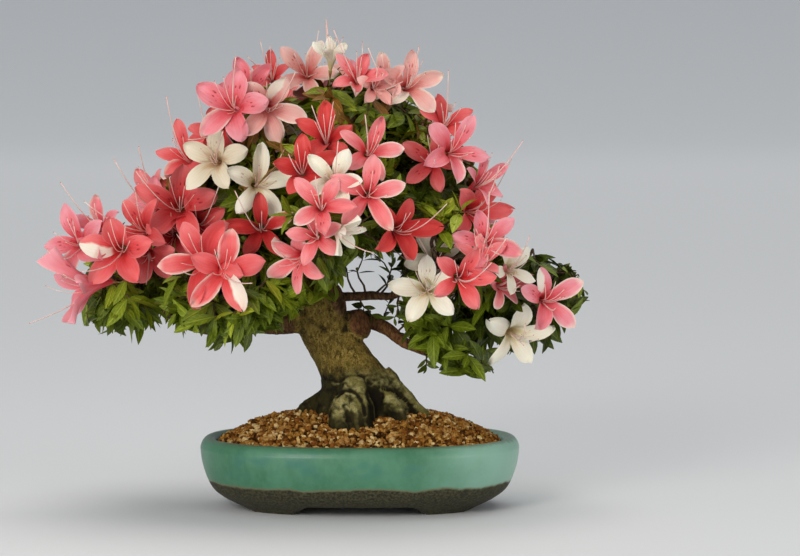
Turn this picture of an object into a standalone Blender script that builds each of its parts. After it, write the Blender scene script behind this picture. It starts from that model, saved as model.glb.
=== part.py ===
"""Azalea bonsai in flower, in a glazed oval pot.

The trunk leans to the left out of a mound of granular soil and forks low in the crown.
Boughs leave it on every side, and each one feeds a mass of foliage with its blossoms.
Every mass keeps to its own part of the crown, so that the crown has true gaps.
The front of the tree faces -Y.  Lengths are metres and angles are radians.
"""

import math
import random

import bmesh
import bpy
from mathutils import Matrix, Vector
from mathutils.bvhtree import BVHTree

# Clearance between neighbours, so that every piece is a solid of its own
GAP = 0.0003

# Pot: an oval shell with an incurved lip, on a foot ring that is cut into four feet
POT_LENGTH = 0.220
POT_DEPTH = 0.160
POT_SQUARENESS = 2.35
POT_SIDES = 30
WALL = 0.008
RIM_HEIGHT = 0.049
LIP_REACH = 0.0125
LIP_DROP = 0.005
FLOOR_UNDER = 0.008
FLOOR_TOP = 0.014
FOOT_INSET = 0.027
FOOT_WIDTH = 0.0095
FOOT_ARCH_HEIGHT = 0.0065
FOOT_ARCH_FRONT = 0.072
FOOT_ARCH_END = 0.040
ARCH_SLOPE = 0.010
DRAIN_RADIUS = 0.007
DRAIN_SPACING = 0.090

# Soil: it fills the pot and is heaped towards the trunk
SOIL_EDGE_HEIGHT = 0.0455
SOIL_HEAP = 0.0205
SOIL_RINGS = 3

# Trunk: path, radius and the roots that flare from its foot
TRUNK_FOOT = 0.056
TRUNK_SIDES = 18
TRUNK_PATH = (
    # x, y, z of the heart of the trunk, and its radius there
    (0.003, 0.000, TRUNK_FOOT, 0.0300),
    (0.002, 0.000, 0.064, 0.0275),
    (0.000, 0.000, 0.073, 0.0255),
    (-0.003, 0.000, 0.084, 0.0232),
    (-0.009, 0.001, 0.097, 0.0200),
    (-0.017, 0.002, 0.111, 0.0180),
    (-0.026, 0.003, 0.127, 0.0178),
    (-0.031, 0.003, 0.144, 0.0168),
    (-0.032, 0.002, 0.160, 0.0140),
    (-0.031, 0.001, 0.174, 0.0112),
)
ROOT_FLARES = (
    # bearing seen from above, how far the flare stands out, and its half width
    (math.radians(-8), 0.014, math.radians(24)),
    (math.radians(186), 0.013, math.radians(26)),
    (math.radians(-98), 0.007, math.radians(30)),
    (math.radians(62), 0.010, math.radians(24)),
    (math.radians(122), 0.011, math.radians(24)),
)
FLARE_TOP = 0.098

# Root knees and the pruned stub: short limbs fused to the trunk
KNEES = (
    # points from the trunk outwards, then the radius at each end
    (((0.000, -0.012, 0.093), (0.001, -0.025, 0.086), (0.005, -0.031, 0.070), (0.006, -0.034, 0.050)),
     0.0085, 0.0088),
    (((-0.008, -0.016, 0.081), (-0.012, -0.031, 0.074), (-0.012, -0.038, 0.062), (-0.011, -0.039, 0.050)),
     0.0070, 0.0085),
    (((0.014, -0.010, 0.083), (0.024, -0.022, 0.076), (0.032, -0.028, 0.062), (0.036, -0.031, 0.050)),
     0.0072, 0.0062),
    (((0.018, 0.000, 0.082), (0.032, -0.004, 0.073), (0.044, -0.007, 0.062), (0.052, -0.009, 0.050)),
     0.0075, 0.0048),
    (((-0.016, 0.002, 0.080), (-0.028, 0.002, 0.072), (-0.040, 0.001, 0.063), (-0.048, 0.000, 0.050)),
     0.0080, 0.0050),
    (((0.008, 0.014, 0.080), (0.016, 0.028, 0.070), (0.022, 0.038, 0.060), (0.025, 0.043, 0.050)),
     0.0080, 0.0050),
    (((-0.008, 0.014, 0.080), (-0.018, 0.028, 0.070), (-0.024, 0.037, 0.060), (-0.027, 0.041, 0.050)),
     0.0080, 0.0055),
    (((-0.013, 0.006, 0.121), (-0.004, 0.003, 0.125), (0.0045, -0.001, 0.127)),
     0.0115, 0.0105),
)

# Boughs: each is one tapering limb that starts inside what carries it
BOUGHS = (
    # name, points from the root to the tip, radius at the root, radius at the tip
    ("leader_bough",
     ((-0.031, 0.000, 0.165), (-0.026, 0.004, 0.196), (-0.016, 0.005, 0.224), (-0.009, 0.003, 0.249)),
     0.0095, 0.0045),
    ("left_low_bough",
     ((-0.028, 0.001, 0.129), (-0.058, -0.005, 0.127), (-0.092, -0.009, 0.124), (-0.124, -0.011, 0.129)),
     0.0092, 0.0042),
    ("right_low_bough",
     ((-0.016, 0.006, 0.117), (0.002, 0.014, 0.127), (0.018, 0.013, 0.124), (0.034, 0.007, 0.111),
      (0.056, 0.001, 0.106), (0.080, -0.003, 0.115)),
     0.0090, 0.0040),
    ("left_upper_bough",
     ((-0.032, 0.002, 0.156), (-0.052, 0.006, 0.177), (-0.074, 0.005, 0.198)),
     0.0072, 0.0036),
    ("front_bough",
     ((-0.031, -0.002, 0.160), (-0.028, -0.024, 0.178), (-0.023, -0.040, 0.193)),
     0.0062, 0.0034),
    ("left_front_bough",
     ((-0.030, -0.002, 0.143), (-0.050, -0.020, 0.146), (-0.070, -0.034, 0.149)),
     0.0062, 0.0034),
    ("right_upper_bough",
     ((-0.030, 0.002, 0.160), (-0.006, 0.006, 0.184), (0.022, 0.006, 0.202), (0.044, 0.002, 0.212)),
     0.0070, 0.0036),
    ("right_middle_bough",
     ((-0.028, 0.002, 0.142), (-0.004, 0.000, 0.146), (0.020, -0.006, 0.146), (0.038, -0.017, 0.156)),
     0.0046, 0.0028),
    ("back_left_bough",
     ((-0.031, 0.006, 0.148), (-0.050, 0.030, 0.157), (-0.070, 0.050, 0.168)),
     0.0066, 0.0036),
    ("back_right_bough",
     ((-0.030, 0.006, 0.152), (-0.010, 0.034, 0.171), (0.018, 0.052, 0.185), (0.038, 0.058, 0.190)),
     0.0066, 0.0036),
    ("top_left_bough",
     ((-0.025, 0.004, 0.200), (-0.042, 0.004, 0.224), (-0.058, 0.002, 0.241)),
     0.0052, 0.0032),
    ("back_top_bough",
     ((-0.018, 0.004, 0.218), (-0.022, 0.028, 0.231), (-0.025, 0.044, 0.239)),
     0.0048, 0.0030),
)
BOUGH_STEPS = 2
KNEE_STEPS = 2

# Masses of foliage: each fills an ellipsoid round the end of its bough
MASSES = (
    # name, bough, centre, half sizes, blossoms
    ("left_low_foliage", "left_low_bough", (-0.160, -0.012, 0.164), (0.062, 0.064, 0.047), 7),
    ("left_front_foliage", "left_front_bough", (-0.090, -0.062, 0.160), (0.052, 0.054, 0.048), 5),
    ("left_upper_foliage", "left_upper_bough", (-0.092, 0.000, 0.222), (0.054, 0.068, 0.046), 6),
    ("top_left_foliage", "top_left_bough", (-0.076, 0.000, 0.270), (0.050, 0.062, 0.040), 5),
    ("top_foliage", "leader_bough", (-0.004, 0.000, 0.284), (0.056, 0.068, 0.041), 7),
    ("front_foliage", "front_bough", (-0.020, -0.071, 0.212), (0.062, 0.052, 0.054), 8),
    ("right_upper_foliage", "right_upper_bough", (0.052, -0.004, 0.229), (0.048, 0.066, 0.048), 6),
    ("right_middle_foliage", "right_middle_bough", (0.064, -0.066, 0.176), (0.044, 0.050, 0.040), 3),
    ("right_low_foliage", "right_low_bough", (0.101, -0.006, 0.150), (0.060, 0.064, 0.046), 5),
    ("back_left_foliage", "back_left_bough", (-0.094, 0.072, 0.184), (0.062, 0.046, 0.058), 5),
    ("back_right_foliage", "back_right_bough", (0.051, 0.072, 0.195), (0.056, 0.046, 0.055), 5),
    ("back_top_foliage", "back_top_bough", (-0.022, 0.072, 0.246), (0.058, 0.046, 0.050), 5),
)
CROWN_HEART = (-0.020, 0.0, 0.130)
TIPS_PER_MASS = 10
HUBS_PER_MASS = 3
LEAVES_PER_TIP = 3

# Twigs: one stem feeds a few side twigs, and they feed the tips
STEM_RADIUS = 0.0024
STEM_TAPER = 0.9
STEM_COLLAR = 0.004
HEART_SHARE = 0.62
TWIG_RADIUS = 0.0017
TIP_RADIUS = 0.0010
TWIG_SINK = 0.0007
SHORTEST_TWIG = 0.012
TWIG_TAPER = 0.8
TWIG_START = 0.2

# Leaves stand in a whorl round the end of each twig
LEAF_LENGTH = 0.041
LEAF_WIDTH = 0.0165
LEAF_THICKNESS = 0.0016
LEAF_WIDEST = 0.55
LEAF_SPACING = 0.0040
LEAF_LIMIT = 1.04
LEAF_TRIES = 5
LEAF_TURN = 0.28
LEAF_SHRINK = 0.95
LEAF_LIFT = 0.12
LEAF_FACE_UP = 0.6
LEAF_LEAN = (0.70, 1.15)
LEAF_SIZES = (0.90, 1.08)
FIRST_LEAF_BACK = 0.4
LEAF_SINK = 0.5

# Blossoms: five petals round a funnel, all as shares of the radius
BLOSSOM_LIMIT = 1.16
BLOSSOM_RADIUS = 0.026
PETALS = 5
POINTS_PER_PETAL = 3
PETAL_SHOULDERS = (0.30, 0.70)
THROAT_AHEAD = 0.38
NOTCH_AHEAD = 0.62
NOTCH_OUT = 0.34
PETAL_AHEAD = 0.74
BLOSSOM_SINK = 0.0015
BLOSSOM_SIZES = (0.90, 1.08)
BLOSSOM_TURNED = Vector((0.0, -0.15, 0.25))
BLOSSOM_UP = Vector((0.3, 0.4, 0.9))

# Reach of the twigs within a mass, as shares of its half sizes
HUB_REACH = 0.42
TIP_REACH = 0.62
SHORTEST_REACH = 0.45
REACH_STEP = 0.04
WANDER = 0.12
GOLDEN_ANGLE = math.pi * (3 - math.sqrt(5))
SPACE_CLEARANCE = 0.0006
LIMB_CLEARANCE = 0.0016

# Open sky between the trunk and the right-hand foliage, seen from the front
SKY_LEFT = -0.012
SKY_RIGHT = 0.034
SKY_BOTTOM = 0.100
SKY_TOP = 0.178

# Colours: linear red, green and blue, then roughness
GLAZE = ((0.09, 0.33, 0.26), 0.35)
SOIL = ((0.42, 0.22, 0.06), 0.95)
BARK = ((0.20, 0.15, 0.09), 0.85)
FOLIAGE = ((0.10, 0.22, 0.03), 0.60)


def material(name, colour, roughness):
    """A plain surface with the part's colour."""
    made = bpy.data.materials.new(name)
    made.use_nodes = True
    shader = made.node_tree.nodes["Principled BSDF"]
    shader.inputs["Base Color"].default_value = (*colour, 1.0)
    shader.inputs["Roughness"].default_value = roughness
    shader.inputs["Metallic"].default_value = 0.0
    return made


def put(bm, name, collection):
    """Turn a bmesh into an object in the collection."""
    mesh = bpy.data.meshes.new(name)
    bm.to_mesh(mesh)
    bm.free()
    thing = bpy.data.objects.new(name, mesh)
    collection.objects.link(thing)
    return thing


def loft(rings):
    """Skin rings of equal length one after another, and cap the first and the last."""
    bm = bmesh.new()
    loops = [[bm.verts.new(point) for point in ring] for ring in rings]
    for here, there in zip(loops, loops[1:]):
        for i in range(len(here)):
            j = (i + 1) % len(here)
            bm.faces.new((here[i], here[j], there[j], there[i]))
    bm.faces.new(loops[0][::-1])
    bm.faces.new(loops[-1])
    return bm


def settle(thing):
    """Apply the object's modifiers, and keep its largest body where others are loose or sealed in."""
    view = bpy.context.evaluated_depsgraph_get()
    view.update()
    mesh = bpy.data.meshes.new_from_object(thing.evaluated_get(view))
    thing.modifiers.clear()
    thing.data = mesh
    bm = bmesh.new()
    bm.from_mesh(mesh)
    bm.verts.ensure_lookup_table()
    seen = set()
    bodies = []
    for start in bm.verts:
        if start in seen:
            continue
        body = {start}
        front = [start]
        while front:
            vert = front.pop()
            for edge in vert.link_edges:
                other = edge.other_vert(vert)
                if other not in body:
                    body.add(other)
                    front.append(other)
        seen |= body
        bodies.append(body)
    bodies.sort(key=len)
    for body in bodies[:-1]:
        bmesh.ops.delete(bm, geom=list(body), context="VERTS")
    bm.to_mesh(mesh)
    bm.free()
    return thing


def combine(thing, helpers, operation):
    """Join or cut with every object of the helpers' collection, which is emptied afterwards."""
    change = thing.modifiers.new(operation.lower(), "BOOLEAN")
    change.operation = operation
    change.operand_type = "COLLECTION"
    change.collection = helpers
    settle(thing)
    for helper in list(helpers.objects):
        bpy.data.objects.remove(helper)
    return thing


def smooth_line(points, steps):
    """Points along a Catmull-Rom curve that runs through the given points."""
    knots = [Vector(p) for p in points]
    first = knots[0] * 2 - knots[1]
    last = knots[-1] * 2 - knots[-2]
    padded = [first, *knots, last]
    line = []
    for a, b, c, d in zip(padded, padded[1:], padded[2:], padded[3:]):
        for step in range(steps):
            t = step / steps
            line.append(
                0.5 * (2 * b + (c - a) * t + (2 * a - 5 * b + 4 * c - d) * t**2
                       + (3 * b - a - 3 * c + d) * t**3)
            )
    line.append(knots[-1])
    return line


def limb(name, line, root_radius, tip_radius, collection, extra=0.0, roundness=2):
    """A round limb along the line, tapering from its root to its tip, with 4 + 2 * roundness sides."""
    curve = bpy.data.curves.new(name, "CURVE")
    curve.dimensions = "3D"
    curve.bevel_depth = root_radius + extra
    curve.bevel_resolution = roundness
    curve.use_fill_caps = True
    spline = curve.splines.new("POLY")
    spline.points.add(len(line) - 1)
    for i, (point, place) in enumerate(zip(spline.points, line)):
        share = i / (len(line) - 1)
        point.co = (*place, 1.0)
        point.radius = (root_radius + (tip_radius - root_radius) * share + extra) / curve.bevel_depth
    rod = bpy.data.objects.new(name, curve)
    collection.objects.link(rod)
    view = bpy.context.evaluated_depsgraph_get()
    view.update()
    mesh = bpy.data.meshes.new_from_object(rod.evaluated_get(view))
    bpy.data.objects.remove(rod)
    bm = bmesh.new()
    bm.from_mesh(mesh)
    bmesh.ops.remove_doubles(bm, verts=bm.verts, dist=0.00001)
    bmesh.ops.recalc_face_normals(bm, faces=bm.faces)
    return put(bm, name, collection)


def oval(inset, height):
    """One ring of the pot: a rounded oval, drawn in by the inset."""
    ring = []
    for i in range(POT_SIDES):
        turn = 2 * math.pi * i / POT_SIDES
        across, along = math.cos(turn), math.sin(turn)
        x = math.copysign(abs(across) ** (2 / POT_SQUARENESS), across)
        y = math.copysign(abs(along) ** (2 / POT_SQUARENESS), along)
        ring.append(((POT_LENGTH / 2 - inset) * x, (POT_DEPTH / 2 - inset) * y, height))
    return ring


def outer_wall():
    """Inset and height up the outside: a foot, a full belly and a rounded lip."""
    belly = 0.041
    profile = [(FOOT_INSET, 0.0), (0.0235, 0.0035), (0.0160, 0.0080), (0.0090, 0.0135)]
    profile += [(0.0045, 0.0215), (0.0012, 0.0320), (0.0, belly)]
    rise = RIM_HEIGHT - belly
    for degrees in (35, 70, 100, 135):
        turn = math.radians(degrees)
        profile.append((LIP_REACH / 2 * (1 - math.cos(turn)), belly + rise * math.sin(turn)))
    return profile


def inner_wall():
    """Inset and height down the inside, from under the lip to the floor."""
    return [
        (LIP_REACH, RIM_HEIGHT - LIP_DROP),
        (WALL + 0.0012, 0.0340),
        (WALL + 0.0045, 0.0230),
        (WALL + 0.0110, FLOOR_TOP),
    ]


def arch_cutter(name, length, depth, place, turn, collection):
    """A bar with sloping ends, which leaves a shallow arch under the foot ring."""
    bm = bmesh.new()
    bmesh.ops.create_cube(bm, size=1.0)
    for vert in bm.verts:
        above = vert.co.z > 0
        end = length / 2 if above else length / 2 + ARCH_SLOPE
        vert.co.x = math.copysign(end, vert.co.x)
        vert.co.y *= depth
        vert.co.z = FOOT_ARCH_HEIGHT if above else -FOOT_ARCH_HEIGHT
    bm.transform(Matrix.Translation(place) @ Matrix.Rotation(turn, 4, "Z"))
    return put(bm, name, collection)


def make_pot(parts, cutters):
    """The oval pot with its four feet and two drain holes."""
    under = FOOT_INSET + FOOT_WIDTH
    profile = [(under + 0.001, FLOOR_UNDER), (under, 0.0)] + outer_wall() + inner_wall()
    pot = put(loft([oval(inset, height) for inset, height in profile]), "pot", parts)
    for side in (-1, 1):
        y = side * (POT_DEPTH / 2 - under)
        arch_cutter("front_arch", FOOT_ARCH_FRONT, POT_DEPTH / 2, (0, y, 0), 0, cutters)
        x = side * (POT_LENGTH / 2 - under)
        arch_cutter("end_arch", FOOT_ARCH_END, POT_DEPTH / 2, (x, 0, 0), math.pi / 2, cutters)
        bm = bmesh.new()
        bmesh.ops.create_cone(
            bm, cap_ends=True, segments=12, radius1=DRAIN_RADIUS, radius2=DRAIN_RADIUS, depth=WALL * 4
        )
        bm.transform(Matrix.Translation((side * DRAIN_SPACING / 2, 0, FLOOR_TOP)))
        put(bm, "drain", cutters)
    return combine(pot, cutters, "DIFFERENCE")


def trunk_body(extra):
    """The trunk's skin from its flat foot to its fork, with its root flares.

    Rings lie level at the foot and turn to stand square to the lean higher up.
    """
    hearts = [Vector(p[:3]) for p in TRUNK_PATH]
    rings = []
    for i, (heart, stop) in enumerate(zip(hearts, TRUNK_PATH)):
        before = hearts[max(i - 1, 0)]
        after = hearts[min(i + 1, len(hearts) - 1)]
        lean = (after - before).normalized()
        upright = max(0.0, 1 - (heart.z - TRUNK_FOOT) / (FLARE_TOP - TRUNK_FOOT))
        lean = lean.lerp(Vector((0, 0, 1)), upright).normalized()
        across = Vector((0, 1, 0)).cross(lean).normalized()
        away = lean.cross(across)
        ring = []
        for side in range(TRUNK_SIDES):
            turn = 2 * math.pi * side / TRUNK_SIDES
            radius = stop[3] + extra
            for bearing, reach, width in ROOT_FLARES:
                off = math.atan2(math.sin(turn - bearing), math.cos(turn - bearing))
                radius += reach * upright**1.5 * math.exp(-((off / width) ** 2))
            ring.append(heart + across * radius * math.cos(turn) + away * radius * math.sin(turn))
        rings.append(ring)
    if extra:
        rings[0] = [point - Vector((0, 0, GAP)) for point in rings[0]]
        rings[-1] = [point + Vector((0, 0, GAP)) for point in rings[-1]]
    return loft(rings)


def make_trunk(name, parts, cutters, extra=0.0):
    """The trunk with its root knees and pruned stub, cut flat at the foot."""
    trunk = put(trunk_body(extra), name, parts)
    for i, (points, root, tip) in enumerate(KNEES):
        limb(f"{name}_knee_{i}", smooth_line(points, KNEE_STEPS), root, tip, cutters, extra, 1)
    combine(trunk, cutters, "UNION")
    size = POT_LENGTH
    level = TRUNK_FOOT - (GAP if extra else 0.0)
    bm = bmesh.new()
    bmesh.ops.create_cube(bm, size=size)
    bm.transform(Matrix.Translation((0, 0, level - size / 2)))
    put(bm, "ground_cut", cutters)
    return combine(trunk, cutters, "DIFFERENCE")


def make_soil(parts, cutters, helpers):
    """The soil: it fills the pot, rises to the trunk and leaves a seat for it."""
    rings = [oval(inset + 2 * GAP, max(height, FLOOR_TOP + GAP)) for inset, height in inner_wall()[::-1]]
    edge = LIP_REACH + 2 * GAP
    middle = POT_DEPTH / 2 - 0.002
    for i in range(SOIL_RINGS + 1):
        share = i / SOIL_RINGS
        rise = SOIL_HEAP * (1 - (1 - share) ** 2)
        rings.append(oval(edge + (middle - edge) * share, SOIL_EDGE_HEIGHT + rise))
    soil = put(loft(rings), "soil", parts)
    make_trunk("seat", cutters, helpers, extra=GAP * 1.5)
    return combine(soil, cutters, "DIFFERENCE")


def make_boughs(parts, cutters, helpers):
    """Every bough in turn, each cut clear of the trunk and of the boughs before it."""
    lines = {}
    for name, points, root, tip in BOUGHS:
        line = smooth_line(points, BOUGH_STEPS)
        bough = limb(name, line, root, tip, parts)
        make_trunk("trunk_room", cutters, helpers, extra=GAP * 1.5)
        for other, (other_line, other_root, other_tip) in lines.items():
            limb(other + "_room", other_line, other_root, other_tip, cutters, extra=GAP * 1.5)
        combine(bough, cutters, "DIFFERENCE")
        lines[name] = (line, root, tip)
    return lines


def limb_beads(lines):
    """The trunk and boughs as rows of points with the radius at each, to keep foliage clear of them."""
    beads = []
    for points, root, tip in [*lines.values(), *[(smooth_line(k[0], KNEE_STEPS), k[1], k[2]) for k in KNEES]]:
        for i, (here, there) in enumerate(zip(points, points[1:])):
            share = i / (len(points) - 1)
            for part in (0.0, 0.5):
                beads.append((here.lerp(there, part), root + (tip - root) * share))
    for here, there in zip(TRUNK_PATH, TRUNK_PATH[1:]):
        for part in (0.0, 0.25, 0.5, 0.75):
            place = Vector(here[:3]).lerp(Vector(there[:3]), part)
            beads.append((place, here[3] + (there[3] - here[3]) * part))
    return beads


class Space:
    """The room of one mass: its ellipsoid, cut by flat faces halfway to each neighbour."""

    def __init__(self, centre, sizes, beads):
        self.centre = Vector(centre)
        self.sizes = Vector(sizes)
        self.beads = beads
        self.faces = []
        self.taken = []

    def keep_from(self, other):
        """Share the room between two centres in the ratio of the ellipsoids' reach."""
        away = other.centre - self.centre
        length = away.length
        away.normalize()
        mine = Vector((self.sizes[i] * away[i] for i in range(3))).length
        theirs = Vector((other.sizes[i] * away[i] for i in range(3))).length
        self.faces.append((away, away.dot(self.centre) + length * mine / (mine + theirs) - SPACE_CLEARANCE))

    def holds(self, point, reach=1.0):
        """Whether the point lies in the room, and not in the open sky."""
        off = point - self.centre
        if sum((off[i] / self.sizes[i]) ** 2 for i in range(3)) > reach**2:
            return False
        if SKY_LEFT < point.x < SKY_RIGHT and SKY_BOTTOM < point.z < SKY_TOP:
            return False
        return all(away.dot(point) < limit for away, limit in self.faces)

    def clear(self, start, end, thickness, skip=0.0):
        """Whether a straight piece of the thickness touches no limb, apart from its first stretch."""
        for k in range(9):
            share = skip + (1 - skip) * k / 8
            place = start.lerp(end, share)
            for bead, radius in self.beads:
                if (place - bead).length < radius + thickness + LIMB_CLEARANCE:
                    return False
        return True


def twig(name, start, end, root_radius, tip_radius, collection):
    """A straight three-sided twig."""
    along = end - start
    bm = bmesh.new()
    bmesh.ops.create_cone(
        bm, cap_ends=True, segments=3, radius1=root_radius, radius2=tip_radius, depth=along.length
    )
    turn = along.to_track_quat("Z", "Y").to_matrix().to_4x4()
    bm.transform(Matrix.Translation((start + end) / 2) @ turn)
    return put(bm, name, collection)


def frame_along(place, along, up):
    """A frame at the place, with X along the direction and Z as near as can be to up."""
    x = along.normalized()
    y = up.cross(x).normalized()
    z = x.cross(y)
    turn = Matrix((x, y, z)).transposed().to_4x4()
    return Matrix.Translation(place) @ turn


def leaf_shape(length):
    """A pointed leaf of eight faces, with its root at the origin and its tip along +X."""
    bm = bmesh.new()
    bmesh.ops.create_uvsphere(bm, u_segments=4, v_segments=2, radius=1.0)
    for vert in bm.verts:
        x, y, z = vert.co
        share = (1 + x) / 2 if abs(x) > 0.5 else LEAF_WIDEST
        vert.co = (share * length, y * LEAF_WIDTH / 2, z * LEAF_THICKNESS / 2)
    return bm


def blossom_shape(radius):
    """A five-petalled funnel, with its rear at the origin and its face towards +X."""
    bm = bmesh.new()
    bmesh.ops.create_uvsphere(bm, u_segments=PETALS * POINTS_PER_PETAL, v_segments=2, radius=1.0)
    for vert in bm.verts:
        x, y, z = vert.co
        if abs(z) > 0.5:
            vert.co = (radius * THROAT_AHEAD if z > 0 else 0.0, 0.0, 0.0)
            continue
        turn = math.atan2(y, x)
        step = round(turn / (2 * math.pi) * PETALS * POINTS_PER_PETAL)
        petal, point = divmod(step, POINTS_PER_PETAL)
        notch = point == 0
        share = 0.0 if notch else PETAL_SHOULDERS[point - 1]
        turn = 2 * math.pi * (petal + share) / PETALS
        out = NOTCH_OUT if notch else 1.0
        ahead = NOTCH_AHEAD if notch else PETAL_AHEAD
        vert.co = (radius * ahead, radius * out * math.cos(turn), radius * out * math.sin(turn))
    bmesh.ops.recalc_face_normals(bm, faces=bm.faces)
    return bm


def place_shape(bm, frame, space, limit, name, collection):
    """Put the shape in the frame, unless it would leave the room, touch a limb or cross another shape."""
    bm.transform(frame)
    root = frame.translation
    outline = BVHTree.FromBMesh(bm)
    fits = all(
        space.holds(vert.co, limit) and space.clear(root, vert.co, LEAF_THICKNESS / 2) for vert in bm.verts
    )
    if not fits or any(outline.overlap(other) for other in space.taken):
        bm.free()
        return False
    space.taken.append(outline)
    put(bm, name, collection)
    return True


def directions(count, chance):
    """Directions spread evenly over a sphere by the golden angle, each a little disturbed."""
    spread = []
    for k in range(count):
        height = 1 - 2 * (k + 0.5) / count
        around = GOLDEN_ANGLE * k
        level = math.sqrt(1 - height**2)
        way = Vector((level * math.cos(around), level * math.sin(around), height))
        way += Vector([chance.uniform(-WANDER, WANDER) for _ in range(3)])
        spread.append(way.normalized())
    return spread


def furthest(space, way, wanted, origin):
    """The furthest place along a direction from the centre that the mass may reach."""
    reach = wanted
    while reach > wanted * SHORTEST_REACH:
        place = space.centre + Vector((space.sizes[i] * way[i] * reach for i in range(3)))
        if space.holds(place) and space.clear(origin, place, TWIG_RADIUS, skip=TWIG_START):
            return place
        reach -= REACH_STEP
    return None


def put_leaf(k, n, place, along, space, chance, helpers):
    """One leaf of the whorl round a twig's end, turned a little further until it finds room."""
    root = place - along * LEAF_SPACING * (n + FIRST_LEAF_BACK)
    for attempt in range(LEAF_TRIES):
        side = along.orthogonal().normalized()
        side.rotate(Matrix.Rotation(2 * math.pi * (n + attempt * LEAF_TURN) / LEAVES_PER_TIP + k, 3, along))
        lean = chance.uniform(*LEAF_LEAN)
        ahead = (along * math.cos(lean) + side * math.sin(lean) + Vector((0, 0, LEAF_LIFT))).normalized()
        length = LEAF_LENGTH * chance.uniform(*LEAF_SIZES) * LEAF_SHRINK**attempt
        frame = frame_along(root - ahead * TIP_RADIUS * LEAF_SINK, ahead, along + Vector((0, 0, LEAF_FACE_UP)))
        if place_shape(leaf_shape(length), frame, space, LEAF_LIMIT, f"leaf_{k}_{n}", helpers):
            return True
    return False


def put_blossom(k, place, way, space, chance, helpers):
    """A blossom on the end of a twig, facing out of the crown, if there is room for it."""
    outward = (way + (place - space.centre).normalized() + BLOSSOM_TURNED).normalized()
    frame = frame_along(place - outward * BLOSSOM_SINK, outward, BLOSSOM_UP)
    size = BLOSSOM_RADIUS * chance.uniform(*BLOSSOM_SIZES)
    return place_shape(blossom_shape(size), frame, space, BLOSSOM_LIMIT, f"blossom_{k}", helpers)


def make_mass(name, line, space, blossoms, chance, parts, helpers):
    """Twigs that branch from one stem, with leaves along their ends and blossoms on the outer tips."""
    tip = line[-1]
    on = (line[-1] - line[-2]).normalized()
    start = tip + on * GAP
    heart = start.lerp(space.centre, HEART_SHARE)
    collar = start + on * STEM_COLLAR
    stem = twig(name, start, collar, STEM_RADIUS, STEM_RADIUS, parts)
    twig("stem", collar - on * STEM_RADIUS / 2, heart, STEM_RADIUS * STEM_TAPER, TWIG_RADIUS, helpers)
    hubs = [heart]
    for k, way in enumerate(directions(HUBS_PER_MASS, chance)):
        hub = furthest(space, way, HUB_REACH, heart)
        if hub:
            back = (heart - hub).normalized() * TWIG_SINK
            twig(f"side_twig_{k}", heart + back, hub, TWIG_RADIUS, TWIG_RADIUS * TWIG_TAPER, helpers)
            hubs.append(hub)
    tips = []
    for way in directions(TIPS_PER_MASS, chance):
        near = min(hubs, key=lambda hub: (hub - space.centre - way * space.sizes.x * HUB_REACH).length)
        place = furthest(space, way, TIP_REACH, near)
        if place and (place - near).length > SHORTEST_TWIG:
            tips.append((near, place, way))
    tips.sort(key=lambda tip: -(tip[1] - Vector(CROWN_HEART)).length)
    flowered = 0
    for k, (near, place, way) in enumerate(tips):
        along = (place - near).normalized()
        bloom = flowered < blossoms and put_blossom(k, place, way, space, chance, helpers)
        back = place - along * (LEAF_SPACING if bloom else 0.0)
        leaves = sum(put_leaf(k, n, back, along, space, chance, helpers) for n in range(LEAVES_PER_TIP))
        if bloom or leaves:
            twig(f"twig_{k}", near - along * TWIG_SINK, place, TWIG_RADIUS * TWIG_TAPER, TIP_RADIUS, helpers)
        flowered += bloom
    return combine(stem, helpers, "UNION")


def make_masses(lines, parts, helpers):
    """Every mass of foliage, each in its own room."""
    beads = limb_beads(lines)
    spaces = [Space(centre, sizes, beads) for _, _, centre, sizes, _ in MASSES]
    for space in spaces:
        for other in spaces:
            if other is not space:
                space.keep_from(other)
    for seed, (row, space) in enumerate(zip(MASSES, spaces)):
        name, bough, _, _, blossoms = row
        make_mass(name, lines[bough][0], space, blossoms, random.Random(seed), parts, helpers)


def centre_on_origin(parts):
    """Move everything so that the origin is the centre of the underside of the whole tree's box."""
    corners = [vert.co for part in parts.objects for vert in part.data.vertices]
    low = Vector([min(corner[i] for corner in corners) for i in range(3)])
    high = Vector([max(corner[i] for corner in corners) for i in range(3)])
    shift = Vector((-(low.x + high.x) / 2, -(low.y + high.y) / 2, -low.z))
    for part in parts.objects:
        part.data.transform(Matrix.Translation(shift))
    print("size", [round(v, 4) for v in high - low], "pot centre", [round(v, 5) for v in shift])


def main():
    for thing in list(bpy.data.objects):
        bpy.data.objects.remove(thing)
    scene = bpy.context.scene.collection
    parts = bpy.data.collections.new("azalea_bonsai")
    cutters = bpy.data.collections.new("cutters")
    helpers = bpy.data.collections.new("helpers")
    for collection in (parts, cutters, helpers):
        scene.children.link(collection)
    make_pot(parts, cutters)
    make_trunk("trunk", parts, helpers)
    make_soil(parts, cutters, helpers)
    lines = make_boughs(parts, cutters, helpers)
    make_masses(lines, parts, helpers)
    centre_on_origin(parts)
    for part in parts.objects:
        colour = FOLIAGE if part.name.endswith("foliage") else BARK
        colour = {"pot": GLAZE, "soil": SOIL}.get(part.name, colour)
        part.data.materials.clear()
        part.data.materials.append(material(part.name + "_surface", *colour))
        if not part.name.endswith("foliage"):
            part.data.shade_smooth()
            part.data.set_sharp_from_angle(angle=math.radians(40))


main()
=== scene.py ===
# %% [markdown]
# # An azalea bonsai in an oval pot: the looks
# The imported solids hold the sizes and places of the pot, the soil, the trunk, twelve boughs and
# twelve masses of foliage. This lesson dresses them. Every shape is worked out with numpy as a
# surface over two parameters, in millimetres from the middle of the pot, and put into the scene
# in metres where the frame says that the pot stands.

# %% Load the frame
import math
from itertools import combinations

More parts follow.
